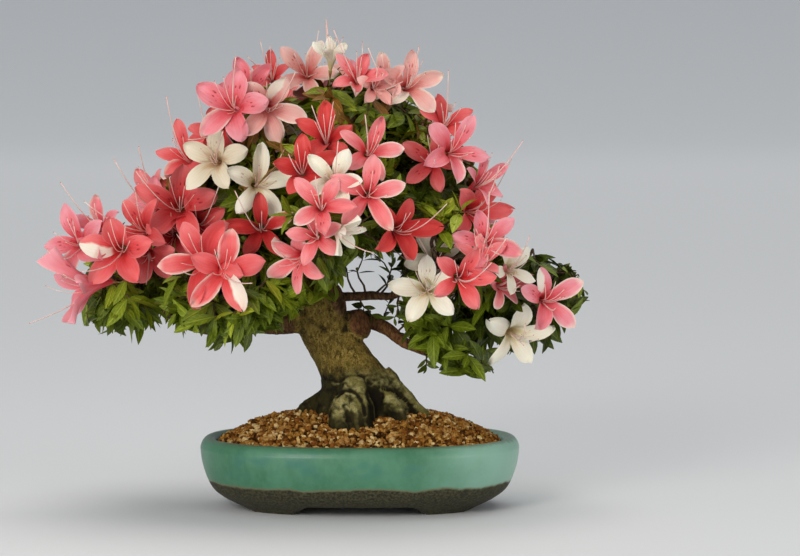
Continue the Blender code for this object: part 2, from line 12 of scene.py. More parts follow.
import bpy
import numpy as np
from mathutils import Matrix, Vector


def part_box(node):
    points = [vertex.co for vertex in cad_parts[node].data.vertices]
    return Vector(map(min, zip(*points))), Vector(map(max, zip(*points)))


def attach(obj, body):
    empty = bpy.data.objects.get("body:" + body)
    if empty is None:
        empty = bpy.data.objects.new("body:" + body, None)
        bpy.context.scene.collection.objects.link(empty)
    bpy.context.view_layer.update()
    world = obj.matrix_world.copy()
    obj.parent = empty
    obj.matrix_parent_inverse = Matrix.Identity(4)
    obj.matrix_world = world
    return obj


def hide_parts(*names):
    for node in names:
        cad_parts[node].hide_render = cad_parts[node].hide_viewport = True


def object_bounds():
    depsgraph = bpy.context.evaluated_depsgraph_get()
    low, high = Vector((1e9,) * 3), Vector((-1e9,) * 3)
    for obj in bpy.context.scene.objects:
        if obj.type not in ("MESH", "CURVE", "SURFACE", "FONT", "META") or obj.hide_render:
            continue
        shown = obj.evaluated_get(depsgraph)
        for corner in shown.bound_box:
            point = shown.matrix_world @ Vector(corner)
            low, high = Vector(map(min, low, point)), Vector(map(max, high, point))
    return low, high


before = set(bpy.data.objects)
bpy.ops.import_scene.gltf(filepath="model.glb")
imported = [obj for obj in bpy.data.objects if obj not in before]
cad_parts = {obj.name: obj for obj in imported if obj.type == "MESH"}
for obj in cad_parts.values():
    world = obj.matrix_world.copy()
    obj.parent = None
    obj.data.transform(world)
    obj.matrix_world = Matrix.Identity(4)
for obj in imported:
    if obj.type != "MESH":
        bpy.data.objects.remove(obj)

CAD_LOW, CAD_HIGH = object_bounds()
MM = 0.001
pot_low, pot_high = (np.array(corner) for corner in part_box("pot"))
HOME = np.array([*(pot_low + pot_high)[:2] / 2, 0.0])
print("the pot stands round", HOME.round(4), "m")

# %% [markdown]
# ## The camera
# A long lens from a little above keeps the oval of the rim as flat as it looks from across a
# room. The view's scale is measured in the plane through the middle of the pot, so that a place
# in the picture can be turned into a place on the tree at any depth.

# %% Camera and view
VIEW_RISE = math.radians(4.0)
VIEW_AWAY = 2600.0
VIEW_WIDTH = 553.6
VIEW_ACROSS = 27.7
VIEW_UP = 157.8
SENSOR = 36.0
VIEW_TOP = np.array([0.0, math.sin(VIEW_RISE), math.cos(VIEW_RISE)])
VIEW_OUT = np.array([0.0, -math.cos(VIEW_RISE), math.sin(VIEW_RISE)])
EYE = np.array([VIEW_ACROSS, 0.0, 0.0]) + VIEW_UP * VIEW_TOP + VIEW_AWAY * VIEW_OUT


def shown(name, data):
    """A new object in the scene that carries this mesh, lamp or lens."""
    made = bpy.data.objects.new(name, data)
    bpy.context.scene.collection.objects.link(made)
    return made


def seen_at(across, up, back):
    """Where the line of sight through a place in the picture plane meets the given depth."""
    plane = np.stack([across, 0 * across, 0 * across], -1) + up[:, None] * VIEW_TOP
    sight = plane - EYE
    return EYE + sight * ((back - EYE[1]) / sight[:, 1])[:, None]


def in_picture(points):
    """Across and up in the picture plane for every point, seen from the camera."""
    sight = points - EYE
    scale = VIEW_AWAY / (-sight @ VIEW_OUT)
    return sight[:, 0] * scale + VIEW_ACROSS, sight @ VIEW_TOP * scale + VIEW_UP


lens = bpy.data.cameras.new("front_view")
lens.lens = SENSOR * VIEW_AWAY / VIEW_WIDTH
lens.sensor_width = SENSOR
camera = shown("front_view", lens)
camera.location = EYE * MM + HOME
camera.rotation_euler = (math.pi / 2 - VIEW_RISE, 0.0, 0.0)
bpy.context.scene.camera = camera
bpy.context.scene.view_settings.view_transform = "Standard"
print("camera", round(VIEW_AWAY), "mm away with a lens of", round(lens.lens), "mm")

# %% [markdown]
# ## Surfaces from arrays
# Two kinds of surface make up the whole tree. A sweep carries a round profile along a line: the
# limbs, twigs and stamens are sweeps. A blade spans two parameters, across and along: leaves and
# petals are blades. Both are whole arrays, so thousands are made as quickly as one.

# %% Grids and sweeps
def unit(vectors):
    """Each vector divided by its own length."""
    return vectors / np.maximum(np.linalg.norm(vectors, axis=-1, keepdims=True), 1e-9)


def circle(steps):
    """Even turns round a full circle."""
    return np.arange(steps) * 2 * np.pi / steps


def around(turn, first, second):
    """The direction at each turn: cos(turn) * first + sin(turn) * second."""
    return np.cos(turn)[..., None] * first + np.sin(turn)[..., None] * second


def grid_faces(rows, columns, closed):
    """The four corner numbers of every face between neighbouring rows and columns."""
    row = np.arange(rows - 1)[:, None] * columns
    column = np.arange(columns if closed else columns - 1)[None, :]
    beside = (column + 1) % columns
    corners = [row + column, row + beside, row + columns + beside, row + columns + column]
    return np.stack(corners, -1).reshape(-1, 4)


def tube_faces(rows, columns):
    """The faces of a grid that closes on itself, and one face over each open end."""
    ends = np.stack([np.arange(columns)[::-1], (rows - 1) * columns + np.arange(columns)])
    return [grid_faces(rows, columns, True), ends]


def repeated(blocks, copies, points_each):
    """The same faces for every copy, the corner numbers moved on by the points before it."""
    shift = (np.arange(copies) * points_each)[:, None, None]
    return [(block[None] + shift).reshape(-1, block.shape[1]) for block in blocks]


def square_directions(lines):
    """Two directions square to each line, the first also to the axis it runs along least."""
    along = unit(np.gradient(lines, axis=1))
    least = np.argmin(np.abs(along).mean(axis=1), axis=1)
    first = unit(np.cross(along, np.eye(3)[least][:, None, :]))
    return first, np.cross(along, first)


def sweep(lines, radii, sides):
    """Tubes along many lines: point = line + radius * the direction round the line."""
    copies, steps = lines.shape[:2]
    first, second = square_directions(lines)
    ring = around(circle(sides), first[:, :, None], second[:, :, None])
    points = lines[:, :, None] + radii[:, :, None, None] * ring
    return points.reshape(-1, 3), repeated(tube_faces(steps, sides), copies, steps * sides)


def tapered(lines, thick, thin, sides):
    """Tubes whose radius falls evenly from thick to thin."""
    radii = np.linspace(thick, thin, lines.shape[1])
    return sweep(lines, np.tile(radii, (len(lines), 1)), sides)


def joined(parts):
    """Several (points, faces) pairs as one, corner numbers moved on past the points before."""
    before = np.cumsum([0] + [len(points) for points, _ in parts])
    faces = [block + start for (_, blocks), start in zip(parts, before) for block in blocks]
    return np.concatenate([points for points, _ in parts]), faces


def smooth_line(knots, steps):
    """A Catmull-Rom curve: a cubic between two knots, its slope at each from the neighbours."""
    knots = np.asarray(knots, float)
    padded = np.vstack([2 * knots[0] - knots[1], knots, 2 * knots[-1] - knots[-2]])
    a, b, c, d = (padded[i:len(padded) - 3 + i, None] for i in range(4))
    t = np.linspace(0, 1, steps, endpoint=False)[None, :, None]
    slope = 0.5 * (c - a)
    square = a - 2.5 * b + 2 * c - 0.5 * d
    cube = 0.5 * (d - a) + 1.5 * (b - c)
    cubic = b + t * slope + t**2 * square + t**3 * cube
    return np.vstack([cubic.reshape(-1, knots.shape[1]), knots[-1:]])


# %% [markdown]
# ## Rolling noise
# Bark, soil and petals all need relief that wanders without repeating. A block of random values
# is read at any point in space by blending its eight nearest corners, which is quick on arrays
# and gives the same relief on every run.

# %% Noise
LATTICE_CELLS = 32
LATTICE = np.random.default_rng(11).random((LATTICE_CELLS,) * 3)


def ease(share):
    """A step from 0 to 1 with no slope at either end: 3 s squared minus 2 s cubed."""
    share = np.clip(share, 0, 1)
    return share * share * (3 - 2 * share)


def rolling_noise(points, cell):
    """Relief from -1 to 1: the eased blend of random values at the corners of such cells."""
    spot = points / cell
    corner = np.floor(spot).astype(int)
    part = ease(spot - corner)
    total = 0.0
    for step in np.ndindex(2, 2, 2):
        weight = np.prod(np.where(step, part, 1 - part), axis=-1)
        x, y, z = np.moveaxis((corner + step) % LATTICE_CELLS, -1, 0)
        total = total + weight * LATTICE[x, y, z]
    return total * 2 - 1


# %% [markdown]
# ## Putting a piece into the scene
# One function makes every mesh. It turns millimetres into metres, keeps the object itself at the
# origin, lets the piece ride on the one body and hides the solids that it stands for. A blade also
# brings its own map, with the place across and along, so that veins and blotches follow it
# wherever it points.

# %% One finished piece
BLADE_MAP = "OFBake"


def piece(name, points, faces, finish, slot, nodes, smooth=True, blade=None, marks=None):
    """A mesh from arrays. blade is each point's place in the map, marks are values on points."""
    mesh = bpy.data.meshes.new(name)
    mesh.vertices.add(len(points))
    mesh.vertices.foreach_set("co", (points * MM + HOME).astype(np.float32).ravel())
    corners = np.concatenate([block.ravel() for block in faces]).astype(np.int32)
    sizes = np.concatenate([np.full(len(block), block.shape[1]) for block in faces])
    mesh.loops.add(len(corners))
    mesh.loops.foreach_set("vertex_index", corners)
    mesh.polygons.add(len(sizes))
    mesh.polygons.foreach_set("loop_start", (np.cumsum(sizes) - sizes).astype(np.int32))
    mesh.update(calc_edges=True)
    mesh.polygons.foreach_set("use_smooth", np.full(len(sizes), smooth))
    if blade is not None:
        layer = mesh.uv_layers.new(name=BLADE_MAP)
        layer.data.foreach_set("uv", blade[corners].astype(np.float32).ravel())
    for mark, values in (marks or {}).items():
        kept = mesh.attributes.new(mark, "FLOAT", "POINT")
        kept.data.foreach_set("value", values.astype(np.float32))
    mesh.materials.append(finish)
    made = shown(name, mesh)
    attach(made, "root")
    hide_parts(*nodes)
    print(f"{name}: {int((sizes - 2).sum())} triangles")
    return made


def rough_solid(name, points, faces):
    """A passing object, from places in metres, for a modifier to work with."""
    mesh = bpy.data.meshes.new(name)
    mesh.from_pydata(points.tolist(), [], [f.tolist() for block in faces for f in block])
    return shown(name, mesh)


def applied(made):
    """The mesh that an object's modifiers leave."""
    view = bpy.context.evaluated_depsgraph_get()
    return bpy.data.meshes.new_from_object(made.evaluated_get(view))


# %% [markdown]
# ## Finishes from nodes
# Each finish is one Principled shader with a few nodes before it. The small kit below only saves
# writing: a node with its settings, a noise, a ramp of colours, a mix, a sum and a bump.

# %% A kit for finishes
def tone(red, green, blue):
    """A colour in screen values, 0 to 255, as the linear values that a shader takes."""
    shares = np.array([red, green, blue]) / 255
    linear = np.where(shares <= 0.04045, shares / 12.92, ((shares + 0.055) / 1.055) ** 2.4)
    return (*linear.tolist(), 1.0)


class Finish:
    """A procedural material under construction."""

    def __init__(self, name, roughness, gloss=0.5, **settings):
        self.material = bpy.data.materials.new(name)
        self.material.use_nodes = True
        self.tree = self.material.node_tree
        self.shader = self.tree.nodes["Principled BSDF"]
        self.shader.inputs["Roughness"].default_value = roughness
        self.shader.inputs["Specular IOR Level"].default_value = gloss
        for socket, value in settings.items():
            self.shader.inputs[socket.replace("_", " ").title()].default_value = value

    def node(self, kind, inputs=None, **settings):
        """A node with its settings, and a value or another node's output on each named input."""
        made = self.tree.nodes.new(kind)
        for setting, value in settings.items():
            setattr(made, setting, value)
        for socket, value in (inputs or {}).items():
            if isinstance(value, bpy.types.NodeSocket):
                self.tree.links.new(value, made.inputs[socket])
            else:
                made.inputs[socket].default_value = value
        return made

    def place(self, scale=(1, 1, 1)):
        """Millimetres from the middle of the pot, each axis scaled for grain that runs one way."""
        across = self.node("ShaderNodeTexCoord").outputs["Object"]
        size = [s / MM for s in scale]
        start = [-h * s for h, s in zip(HOME, size)]
        wanted = {"Vector": across, "Location": start, "Scale": size}
        return self.node("ShaderNodeMapping", wanted).outputs["Vector"]

    def blade(self):
        """The place across and along a blade, from the piece's own map."""
        return self.node("ShaderNodeUVMap", uv_map=BLADE_MAP).outputs["UV"]

    def mark(self, name):
        """The values that the piece keeps on its points under this name."""
        return self.node("ShaderNodeAttribute", attribute_name=name).outputs["Fac"]

    def parts(self, vector):
        """The three parts of a vector."""
        return self.node("ShaderNodeSeparateXYZ", {0: vector}).outputs

    def noise(self, where, cell, detail=3.0, roughness=0.55):
        """Soft noise with features about as large as the cell."""
        wanted = {"Vector": where, "Scale": 1 / cell, "Detail": detail, "Roughness": roughness}
        return self.node("ShaderNodeTexNoise", wanted).outputs["Fac"]

    def math(self, operation, a, b=0.0):
        """One sum on values."""
        return self.node("ShaderNodeMath", {0: a, 1: b}, operation=operation).outputs[0]

    def vector(self, operation, a, b=(0, 0, 0)):
        """One sum on vectors."""
        return self.node("ShaderNodeVectorMath", {0: a, 1: b}, operation=operation).outputs[0]

    def plus(self, a, b):
        """a + b."""
        return self.math("ADD", a, b)

    def times(self, a, *others):
        """All the values multiplied."""
        for other in others:
            a = self.math("MULTIPLY", a, other)
        return a

    def rest(self, share):
        """What a share leaves of one."""
        return self.math("SUBTRACT", 1.0, share)

    def from_middle(self, u):
        """How far across from the middle of a blade: 0 there and 1 at either edge."""
        return self.math("ABSOLUTE", self.plus(self.times(u, 2.0), -1.0))

    def spread(self, value, low, high, to_low=0.0, to_high=1.0):
        """The value's range from low to high, eased onto another range and held beyond it."""
        wanted = {"Value": value, 1: low, 2: high, 3: to_low, 4: to_high}
        made = self.node("ShaderNodeMapRange", wanted, interpolation_type="SMOOTHSTEP")
        return made.outputs["Result"]

    def mix(self, share, one, other):
        """The second colour over the first, by the share."""
        return self.node("ShaderNodeMix", {0: share, 6: one, 7: other}, data_type="RGBA").outputs[2]

    def over(self, shade, share, colour):
        """A screen colour over a shade, by the share."""
        return self.mix(share, shade, tone(*colour))

    def layer(self, shade, value, low, high, colour, most=1.0):
        """A screen colour that comes in as the value goes from low to high."""
        return self.over(shade, self.spread(value, low, high, 0, most), colour)

    def blend(self, value, low, high, one, other):
        """From one screen colour to another as the value goes from low to high."""
        return self.layer(tone(*one), value, low, high, other)

    def colour(self, value):
        """What the surface's own colour is."""
        self.tree.links.new(value, self.shader.inputs["Base Color"])

    def rough(self, value):
        """How dull the surface is from place to place."""
        self.tree.links.new(value, self.shader.inputs["Roughness"])

    def bump(self, height, strength, distance):
        """Fine relief under the light, in millimetres."""
        wanted = {"Height": height, "Strength": strength, "Distance": distance * MM}
        made = self.node("ShaderNodeBump", wanted)
        self.tree.links.new(made.outputs["Normal"], self.shader.inputs["Normal"])


# %% [markdown]
# ## The pot
# The real pot is a glazed stoneware oval with a soft inward lip and four low feet. A loft of
# superellipses would show its facets in the gloss if it had as few sides as the solid, so the
# same profile is carried round again with many more. The arches between the feet are cut by
# lifting the lowest rings where the arch runs.

# %% Pot sizes
POT_LENGTH = 220.0
POT_DEPTH = 160.0
POT_SQUARENESS = 2.35
WALL = 8.0
RIM_HEIGHT = 49.0
LIP_REACH = 12.5
LIP_DROP = 5.0
FLOOR_UNDER = 8.0
FLOOR_TOP = 14.0
FOOT_INSET = 27.0
FOOT_WIDTH = 9.5
ARCH_HEIGHT = 6.5
ARCH_HALF_FRONT = 36.0
ARCH_HALF_END = 20.0
ARCH_SLOPE = 10.0
DRAIN_RADIUS = 7.0
DRAIN_APART = 90.0
POT_SIDES = 192

# %% Pot surface
def oval(inset, turn):
    """The rim's superellipse drawn in by the inset: half size * |cos|^(2/n) and |sin|^(2/n)."""
    power = 2 / POT_SQUARENESS
    x, y = np.cos(turn), np.sin(turn)
    x = (POT_LENGTH / 2 - inset) * np.sign(x) * np.abs(x) ** power
    return x, (POT_DEPTH / 2 - inset) * np.sign(y) * np.abs(y) ** power


def pot_profile():
    """Inset and height from the underside's middle, up the wall, over the lip and down inside."""
    under = [(70, FLOOR_UNDER), (45, FLOOR_UNDER), (FOOT_INSET + FOOT_WIDTH + 1, FLOOR_UNDER)]
    foot = [(FOOT_INSET + FOOT_WIDTH, 0.6), (FOOT_INSET + FOOT_WIDTH - 0.8, 0.0)]
    outer = [(FOOT_INSET + 0.8, 0.0), (FOOT_INSET, 0.7), (23.5, 3.5), (16.0, 8.0), (9.0, 13.5)]
    outer += [(4.5, 21.5), (1.2, 32.0), (0.0, 41.0)]
    arcs = np.radians(np.array([20, 40, 60, 80, 100, 120, 135, 150]))
    lip = [(LIP_REACH / 2 * (1 - np.cos(a)), 41 + (RIM_HEIGHT - 41) * np.sin(a)) for a in arcs]
    inner = [(LIP_REACH, RIM_HEIGHT - LIP_DROP), (WALL + 1.2, 34.0), (WALL + 4.5, 23.0)]
    inner += [(WALL + 11.0, FLOOR_TOP), (45, FLOOR_TOP), (70, FLOOR_TOP)]
    return np.array(under + foot), smooth_line(outer + lip, 4), np.array(inner)


def arch_lift(x, y):
    """How far the arch lifts the foot: its full height inside, and a straight slope at each end."""
    front = (ARCH_HALF_FRONT + ARCH_SLOPE - np.abs(x)) / ARCH_SLOPE
    end = (ARCH_HALF_END + ARCH_SLOPE - np.abs(y)) / ARCH_SLOPE
    return ARCH_HEIGHT * np.clip(np.maximum(front, end), 0, 1)


def pot_surface():
    """The profile carried round the oval, closed in the middle below and inside."""
    profile = np.vstack(pot_profile())
    x, y = oval(profile[:, :1], circle(POT_SIDES)[None, :])
    z = profile[:, 1:] + 0 * x
    low = profile[:, 1:] < ARCH_HEIGHT + 0.5
    z = np.where(low, np.maximum(z, arch_lift(x, y)), z)
    return np.stack([x, y, z], -1).reshape(-1, 3), tube_faces(len(profile), POT_SIDES)


# %% [markdown]
# ## The glaze
# The glaze is a satin sea green that pools bluish below the rim and thins to brown where the lip
# turns. It stops on a wavy line above the foot, with a pale band, and below it the clay is
# bare, dark and rough. Height above the table places all of these, and noise makes each
# border wander. Towards the right end the green is painted paler, a painted pool of light.

# %% Glaze
GLAZE_EDGE = 14.7


def glaze_finish():
    """Sea-green glaze above a wavy line and bare clay below it."""
    f = Finish("sea_green_glaze", 0.38, coat_weight=0.06, coat_roughness=0.3)
    where = f.place()
    across, _, height = f.parts(where)
    drift = f.noise(f.place((0.6, 1, 1)), 17, 2)
    mottle = f.noise(f.place((1, 1, 0.7)), 5, 5, 0.65)
    body = f.blend(f.noise(where, 34, 2), 0.36, 0.64, (62, 118, 88), (76, 132, 104))
    body = f.layer(body, mottle, 0.40, 0.66, (94, 148, 122), 0.28)
    pooled = f.times(f.spread(height, 22, 36), f.spread(drift, 0.50, 0.66, 0, 0.7))
    body = f.over(body, pooled, (58, 118, 106))
    # painted light: the glaze towards the right end of the pot is painted paler, as if lit from the
    # right
    body = f.layer(body, f.plus(across, f.times(drift, 30)), 48, 116, (150, 196, 178), 0.85)
    body = f.layer(body, f.plus(height, f.times(mottle, 5)), 49.4, 51.4, (104, 124, 92), 0.5)
    body = f.layer(body, f.noise(where, 1.3, 2), 0.70, 0.76, (48, 76, 60), 0.7)
    line = f.plus(height, f.times(f.noise(where, 24, 3), -7))
    line = f.plus(line, f.times(mottle, -1.6))
    clay = f.blend(f.noise(where, 1.6, 4), 0.35, 0.7, (32, 31, 17), (76, 73, 46))
    band = f.layer(clay, line, GLAZE_EDGE - 0.4, GLAZE_EDGE + 1.2, (104, 104, 76))
    f.colour(f.mix(f.spread(line, GLAZE_EDGE + 0.5, GLAZE_EDGE + 2.6), band, body))
    bare = f.rest(f.spread(line, GLAZE_EDGE + 0.3, GLAZE_EDGE + 1.9))
    f.rough(f.math("MAXIMUM", f.spread(mottle, 0.3, 0.7, 0.34, 0.44), f.times(bare, 0.85)))
    grit = f.times(f.noise(where, 1.1, 4), bare, 0.8)
    f.bump(f.plus(grit, f.times(mottle, 0.2)), 0.6, 0.8)
    return f.material


pot_piece = piece("glazed_pot", *pot_surface(), glaze_finish(), "glaze", ["pot"])

# %% [markdown]
# ## Drain holes
# Two holes let water out of the floor. A Boolean takes them out of the smooth shell, as a drill
# would.

# %% Drain holes
def drill(made, x, y, radius, low, high):
    """Cut a round hole that runs upwards between two heights."""
    line = np.array([[[x, y, low], [x, y, (low + high) / 2], [x, y, high]]], float)
    points, faces = tapered(line, radius, radius, 32)
    bit = rough_solid("drill", points * MM + HOME, faces)
    cut = made.modifiers.new("drain", "BOOLEAN")
    cut.object = bit
    cut.solver = "EXACT"
    done = applied(made)
    made.modifiers.clear()
    made.data = done
    bpy.data.objects.remove(bit)


for side in (-1, 1):
    drill(pot_piece, side * DRAIN_APART / 2, 0.0, DRAIN_RADIUS, FLOOR_UNDER - 4, FLOOR_TOP + 4)
print("drain holes", DRAIN_APART, "mm apart")

# %% [markdown]
# ## The soil
# The pot is filled with granules of baked clay, heaped towards the trunk. A bed under them closes
# the gaps, painted dark brown as the shade between the granules, and the granules themselves are
# a few thousand lumps of twenty faces each. They could be a bump on the bed, but at the rim and
# against the trunk their outline shows.

# %% The heap
SOIL_EDGE = 45.5
SOIL_HEAP = 20.5
BED_INSET = LIP_REACH + 0.6
RIDGE_INSET = POT_DEPTH / 2 - 2
BED_SINK = 1.2
BED_ROLL = 0.8


def inset_at(x, y):
    """The inset of the oval that runs through each point, found by halving the range 24 times."""
    low = np.zeros_like(x)
    high = np.full_like(x, RIDGE_INSET)
    for _ in range(24):
        middle = (low + high) / 2
        reach = np.abs(x / (POT_LENGTH / 2 - middle)) ** POT_SQUARENESS
        reach = reach + np.abs(y / (POT_DEPTH / 2 - middle)) ** POT_SQUARENESS
        low, high = np.where(reach < 1, middle, low), np.where(reach < 1, high, middle)
    return low


def heap_height(inset):
    """The heap rises from the edge to its ridge as 1 - (1 - share) squared."""
    share = np.clip((inset - BED_INSET) / (RIDGE_INSET - BED_INSET), 0, 1)
    return SOIL_EDGE + SOIL_HEAP * (1 - (1 - share) ** 2)


def bed_surface():
    """Ovals from the floor up the wall and over the heap, with a low roll in the surface."""
    turn = circle(POT_SIDES)[None, :]
    insets = np.linspace(BED_INSET, RIDGE_INSET, 40)[:, None]
    x, y = oval(insets, turn)
    top = np.stack([x, y, heap_height(insets) + 0 * x - BED_SINK], -1)
    top[..., 2] += BED_ROLL * rolling_noise(top, 4.0)
    x, y = oval(np.array([[WALL + 11.5], [WALL + 5.0], [BED_INSET + 0.2]]), turn)
    wall = np.stack([x, y, np.array([[FLOOR_TOP + 0.3], [24.0], [SOIL_EDGE - 4]]) + 0 * x], -1)
    rows = np.concatenate([wall, top])
    return rows.reshape(-1, 3), tube_faces(len(rows), POT_SIDES)


# %% [markdown]
# ## Granules
# An icosahedron has twelve corners and twenty faces. Every granule takes those corners, moves each
# one a little, squashes the lump and turns it at random, so that no two are alike.

# %% Granules
GRAINS = 6200
GRAIN_TONES = (
    # piece, colour, darker colour, share of the granules
    ("granules_ochre", (182, 134, 62), (112, 72, 24), 0.28),
    ("granules_orange", (150, 96, 38), (92, 54, 16), 0.17),
    ("granules_tan", (208, 168, 100), (150, 106, 50), 0.24),
    ("granules_pale", (242, 220, 164), (200, 162, 98), 0.13),
    ("granules_brown", (86, 52, 20), (46, 27, 9), 0.18),
)
GOLDEN = (1 + math.sqrt(5)) / 2
JITTER = 0.24
SQUASH = (0.72, 1.18)
GRAIN_LEAST = 1.1
SCATTER = 1.1
GRAIN_SINK = 0.3


def icosahedron():
    """Twelve corners at (0, 1, golden ratio) turned through the axes, and their twenty faces."""
    flat = [(0, a, b * GOLDEN) for a in (-1, 1) for b in (-1, 1)]
    corners = unit(np.array([np.roll(c, k) for k in range(3) for c in flat], float))
    gaps = np.linalg.norm(corners[:, None] - corners[None], axis=-1)
    near = (gaps > 0.1) & (gaps < 1.2)
    threes = combinations(range(12), 3)
    faces = np.array([(i, j, k) for i, j, k in threes if near[i, j] and near[j, k] and near[i, k]])
    a, b, c = (corners[faces[:, i]] for i in range(3))
    inward = np.einsum("ij,ij->i", np.cross(b - a, c - a), a + b + c) < 0
    faces[inward] = faces[inward][:, ::-1]
    return corners, faces


def random_turns(rng, count):
    """Random rotation matrices from four normal draws each, read as a quaternion."""
    w, x, y, z = unit(rng.normal(size=(count, 4))).T
    rows = [1 - 2 * (y * y + z * z), 2 * (x * y - w * z), 2 * (x * z + w * y)]
    rows += [2 * (x * y + w * z), 1 - 2 * (x * x + z * z), 2 * (y * z - w * x)]
    rows += [2 * (x * z - w * y), 2 * (y * z + w * x), 1 - 2 * (x * x + y * y)]
    return np.stack(rows, -1).reshape(count, 3, 3)


def lumps(rng, centres, sizes):
    """One jittered, squashed and turned icosahedron round each centre."""
    corners, faces = icosahedron()
    count = len(centres)
    shape = corners[None] * (1 + rng.uniform(-JITTER, JITTER, (count, 12, 1)))
    shape = shape * rng.uniform(*SQUASH, (count, 1, 3))
    shape = np.einsum("nij,nkj->nki", random_turns(rng, count), shape)
    points = centres[:, None] + shape * sizes[:, None, None]
    return points.reshape(-1, 3), repeated([faces], count, 12)


def grain_finish(name, colour, dark):
    """Baked clay: dull, cloudy and a little darker in patches."""
    f = Finish(name, 0.92, 0.1)
    where = f.place()
    shade = f.blend(f.noise(where, 2.2, 4), 0.32, 0.68, dark, colour)
    f.colour(f.layer(shade, f.noise(where, 9.0, 2), 0.35, 0.7, (122, 72, 28), 0.45))
    f.bump(f.noise(where, 0.5, 3), 0.5, 0.3)
    return f.material


def scatter_grains():
    """Granules all over the heap, half sunk, some of them large."""
    rng = np.random.default_rng(21)
    half = np.array([POT_LENGTH / 2 - LIP_REACH, POT_DEPTH / 2 - LIP_REACH])
    spots = rng.uniform(-1, 1, (GRAINS * 3, 2)) * half
    inset = inset_at(spots[:, 0], spots[:, 1])
    keep = np.flatnonzero(inset > BED_INSET + 0.9)[:GRAINS]
    sizes = GRAIN_LEAST + 0.7 * rng.random(len(keep)) + 1.6 * rng.random(len(keep)) ** 4
    height = heap_height(inset[keep]) + rng.uniform(-SCATTER, SCATTER, len(keep))
    height = height - sizes * GRAIN_SINK
    centres = np.column_stack([spots[keep], height])
    kind = rng.random(len(keep))
    start = 0.0
    for name, colour, dark, share in GRAIN_TONES:
        own = (kind >= start) & (kind < start + share)
        start += share
        points, faces = lumps(rng, centres[own], sizes[own])
        finish = grain_finish(name, colour, dark)
        piece(name, points, faces, finish, "soil", ["soil"], smooth=False)


# painted shade: the bed is dark brown for the shade in the gaps between the granules
bed_shade_finish = grain_finish("soil_bed", (46, 28, 12), (26, 16, 7))
piece("soil_bed", *bed_surface(), bed_shade_finish, "soil", ["soil"])
scatter_grains()

# %% [markdown]
# ## Trunk and boughs
# The trunk leans to the left out of a spread of old roots, with two knees folded over each other
# at the front and a sawn stub at the right. Its limbs are swept one by one along their routes,
# which are the solids' own. Sweeps alone would meet in hard creases, so a fine voxel skin is
# drawn over all of them, as bark grows over a joint, and relaxed.

# %% Routes of the limbs
TRUNK_KNOTS = (
    # across, back, up and radius
    (3, 0, 52, 31.0), (3, 0, 56, 30.0), (2, 0, 64, 27.5), (0, 0, 73, 25.5), (-3, 0, 84, 23.2),
    (-9, 1, 97, 20.0), (-17, 2, 111, 18.0), (-26, 3, 127, 17.8), (-31, 3, 144, 16.8),
    (-32, 2, 160, 14.0), (-31, 1, 174, 11.2),
)
TRUNK_FOOT = 56.0
FLARE_TOP = 98.0
FLARES = (
    # bearing in degrees, reach, half width in degrees
    (-8, 14, 24), (186, 13, 26), (-98, 7, 30), (62, 10, 24), (122, 11, 24),
)
KNEES = (
    # across, back, up and radius at each knot
    ((-4, -9, 88, 7.0), (-4, -22, 84, 9.2), (1, -30, 73, 9.0), (4, -33, 60, 8.4),
     (5, -34, 50, 8.4)),
    ((-8, -15, 77, 6.5), (-12, -29, 73, 7.8), (-13, -35, 64, 8.4), (-11, -39, 50, 8.4)),
    ((-9, -27, 76, 3.6), (-4, -36, 70, 3.8), (-2, -40, 62, 3.2), (-1, -41, 52, 3.0)),
    ((13, -10, 80, 6.0), (20, -21, 74, 6.6), (26, -26, 67, 5.6), (31, -27, 52, 3.4)),
    ((15, 0, 92, 7.4), (23, -2, 84, 6.8), (33, -4, 73, 6.2), (43, -7, 63, 5.4),
     (55, -10, 53, 4.2)),
    ((-16, 2, 80, 8.0), (-28, 2, 72, 7.0), (-40, 1, 63, 6.0), (-50, -1, 53, 4.4)),
    ((8, 14, 80, 8.0), (16, 28, 70, 7.0), (22, 38, 60, 6.0), (25, 43, 50, 5.0)),
    ((-8, 14, 80, 8.0), (-18, 28, 70, 7.2), (-24, 37, 60, 6.2), (-27, 41, 50, 5.4)),
    ((-13, 6, 121, 11.5), (-5, 1, 125, 11.2), (2, -4, 127, 10.6)),
    ((-32, -4, 150, 8.5), (-22, -8, 150, 8.5), (-17, -8, 139, 8.0), (-17, -6, 122, 6.5)),
)
BOUGHS = {
    # each bough's knots, then its radius at the root and at the tip
    "leader_bough": (((-31, 0, 165), (-26, 4, 196), (-16, 5, 224), (-9, 3, 249)), 9.5, 4.5),
    "left_low_bough": (((-28, 1, 129), (-58, -5, 127), (-92, -9, 124), (-124, -11, 129)), 9.2, 4.2),
    "right_low_bough": (((-16, 6, 117), (2, 14, 127), (18, 13, 124), (34, 7, 111), (56, 1, 106),
                         (80, -3, 115)), 7.0, 2.3),
    "left_upper_bough": (((-32, 2, 156), (-52, 6, 177), (-74, 5, 198)), 7.2, 3.6),
    "front_bough": (((-31, -2, 160), (-28, -24, 178), (-23, -40, 193)), 6.2, 3.4),
    "left_front_bough": (((-30, -2, 143), (-50, -20, 146), (-70, -34, 149)), 6.2, 3.4),
    "right_upper_bough": (((-30, 2, 160), (-6, 6, 184), (22, 6, 202), (44, 2, 212)), 7.0, 3.6),
    "right_middle_bough": (((-28, 2, 142), (-4, 0, 146), (20, -6, 146), (38, -17, 156)), 4.0, 2.5),
    "back_left_bough": (((-31, 6, 148), (-50, 30, 157), (-70, 50, 168)), 6.6, 3.6),
    "back_right_bough": (((-30, 6, 152), (-10, 34, 171), (18, 52, 185), (38, 58, 190)), 6.6, 3.6),
    "top_left_bough": (((-25, 4, 200), (-42, 4, 224), (-58, 2, 241)), 5.2, 3.2),
    "back_top_bough": (((-18, 4, 218), (-22, 28, 231), (-25, 44, 239)), 4.8, 3.0),
}
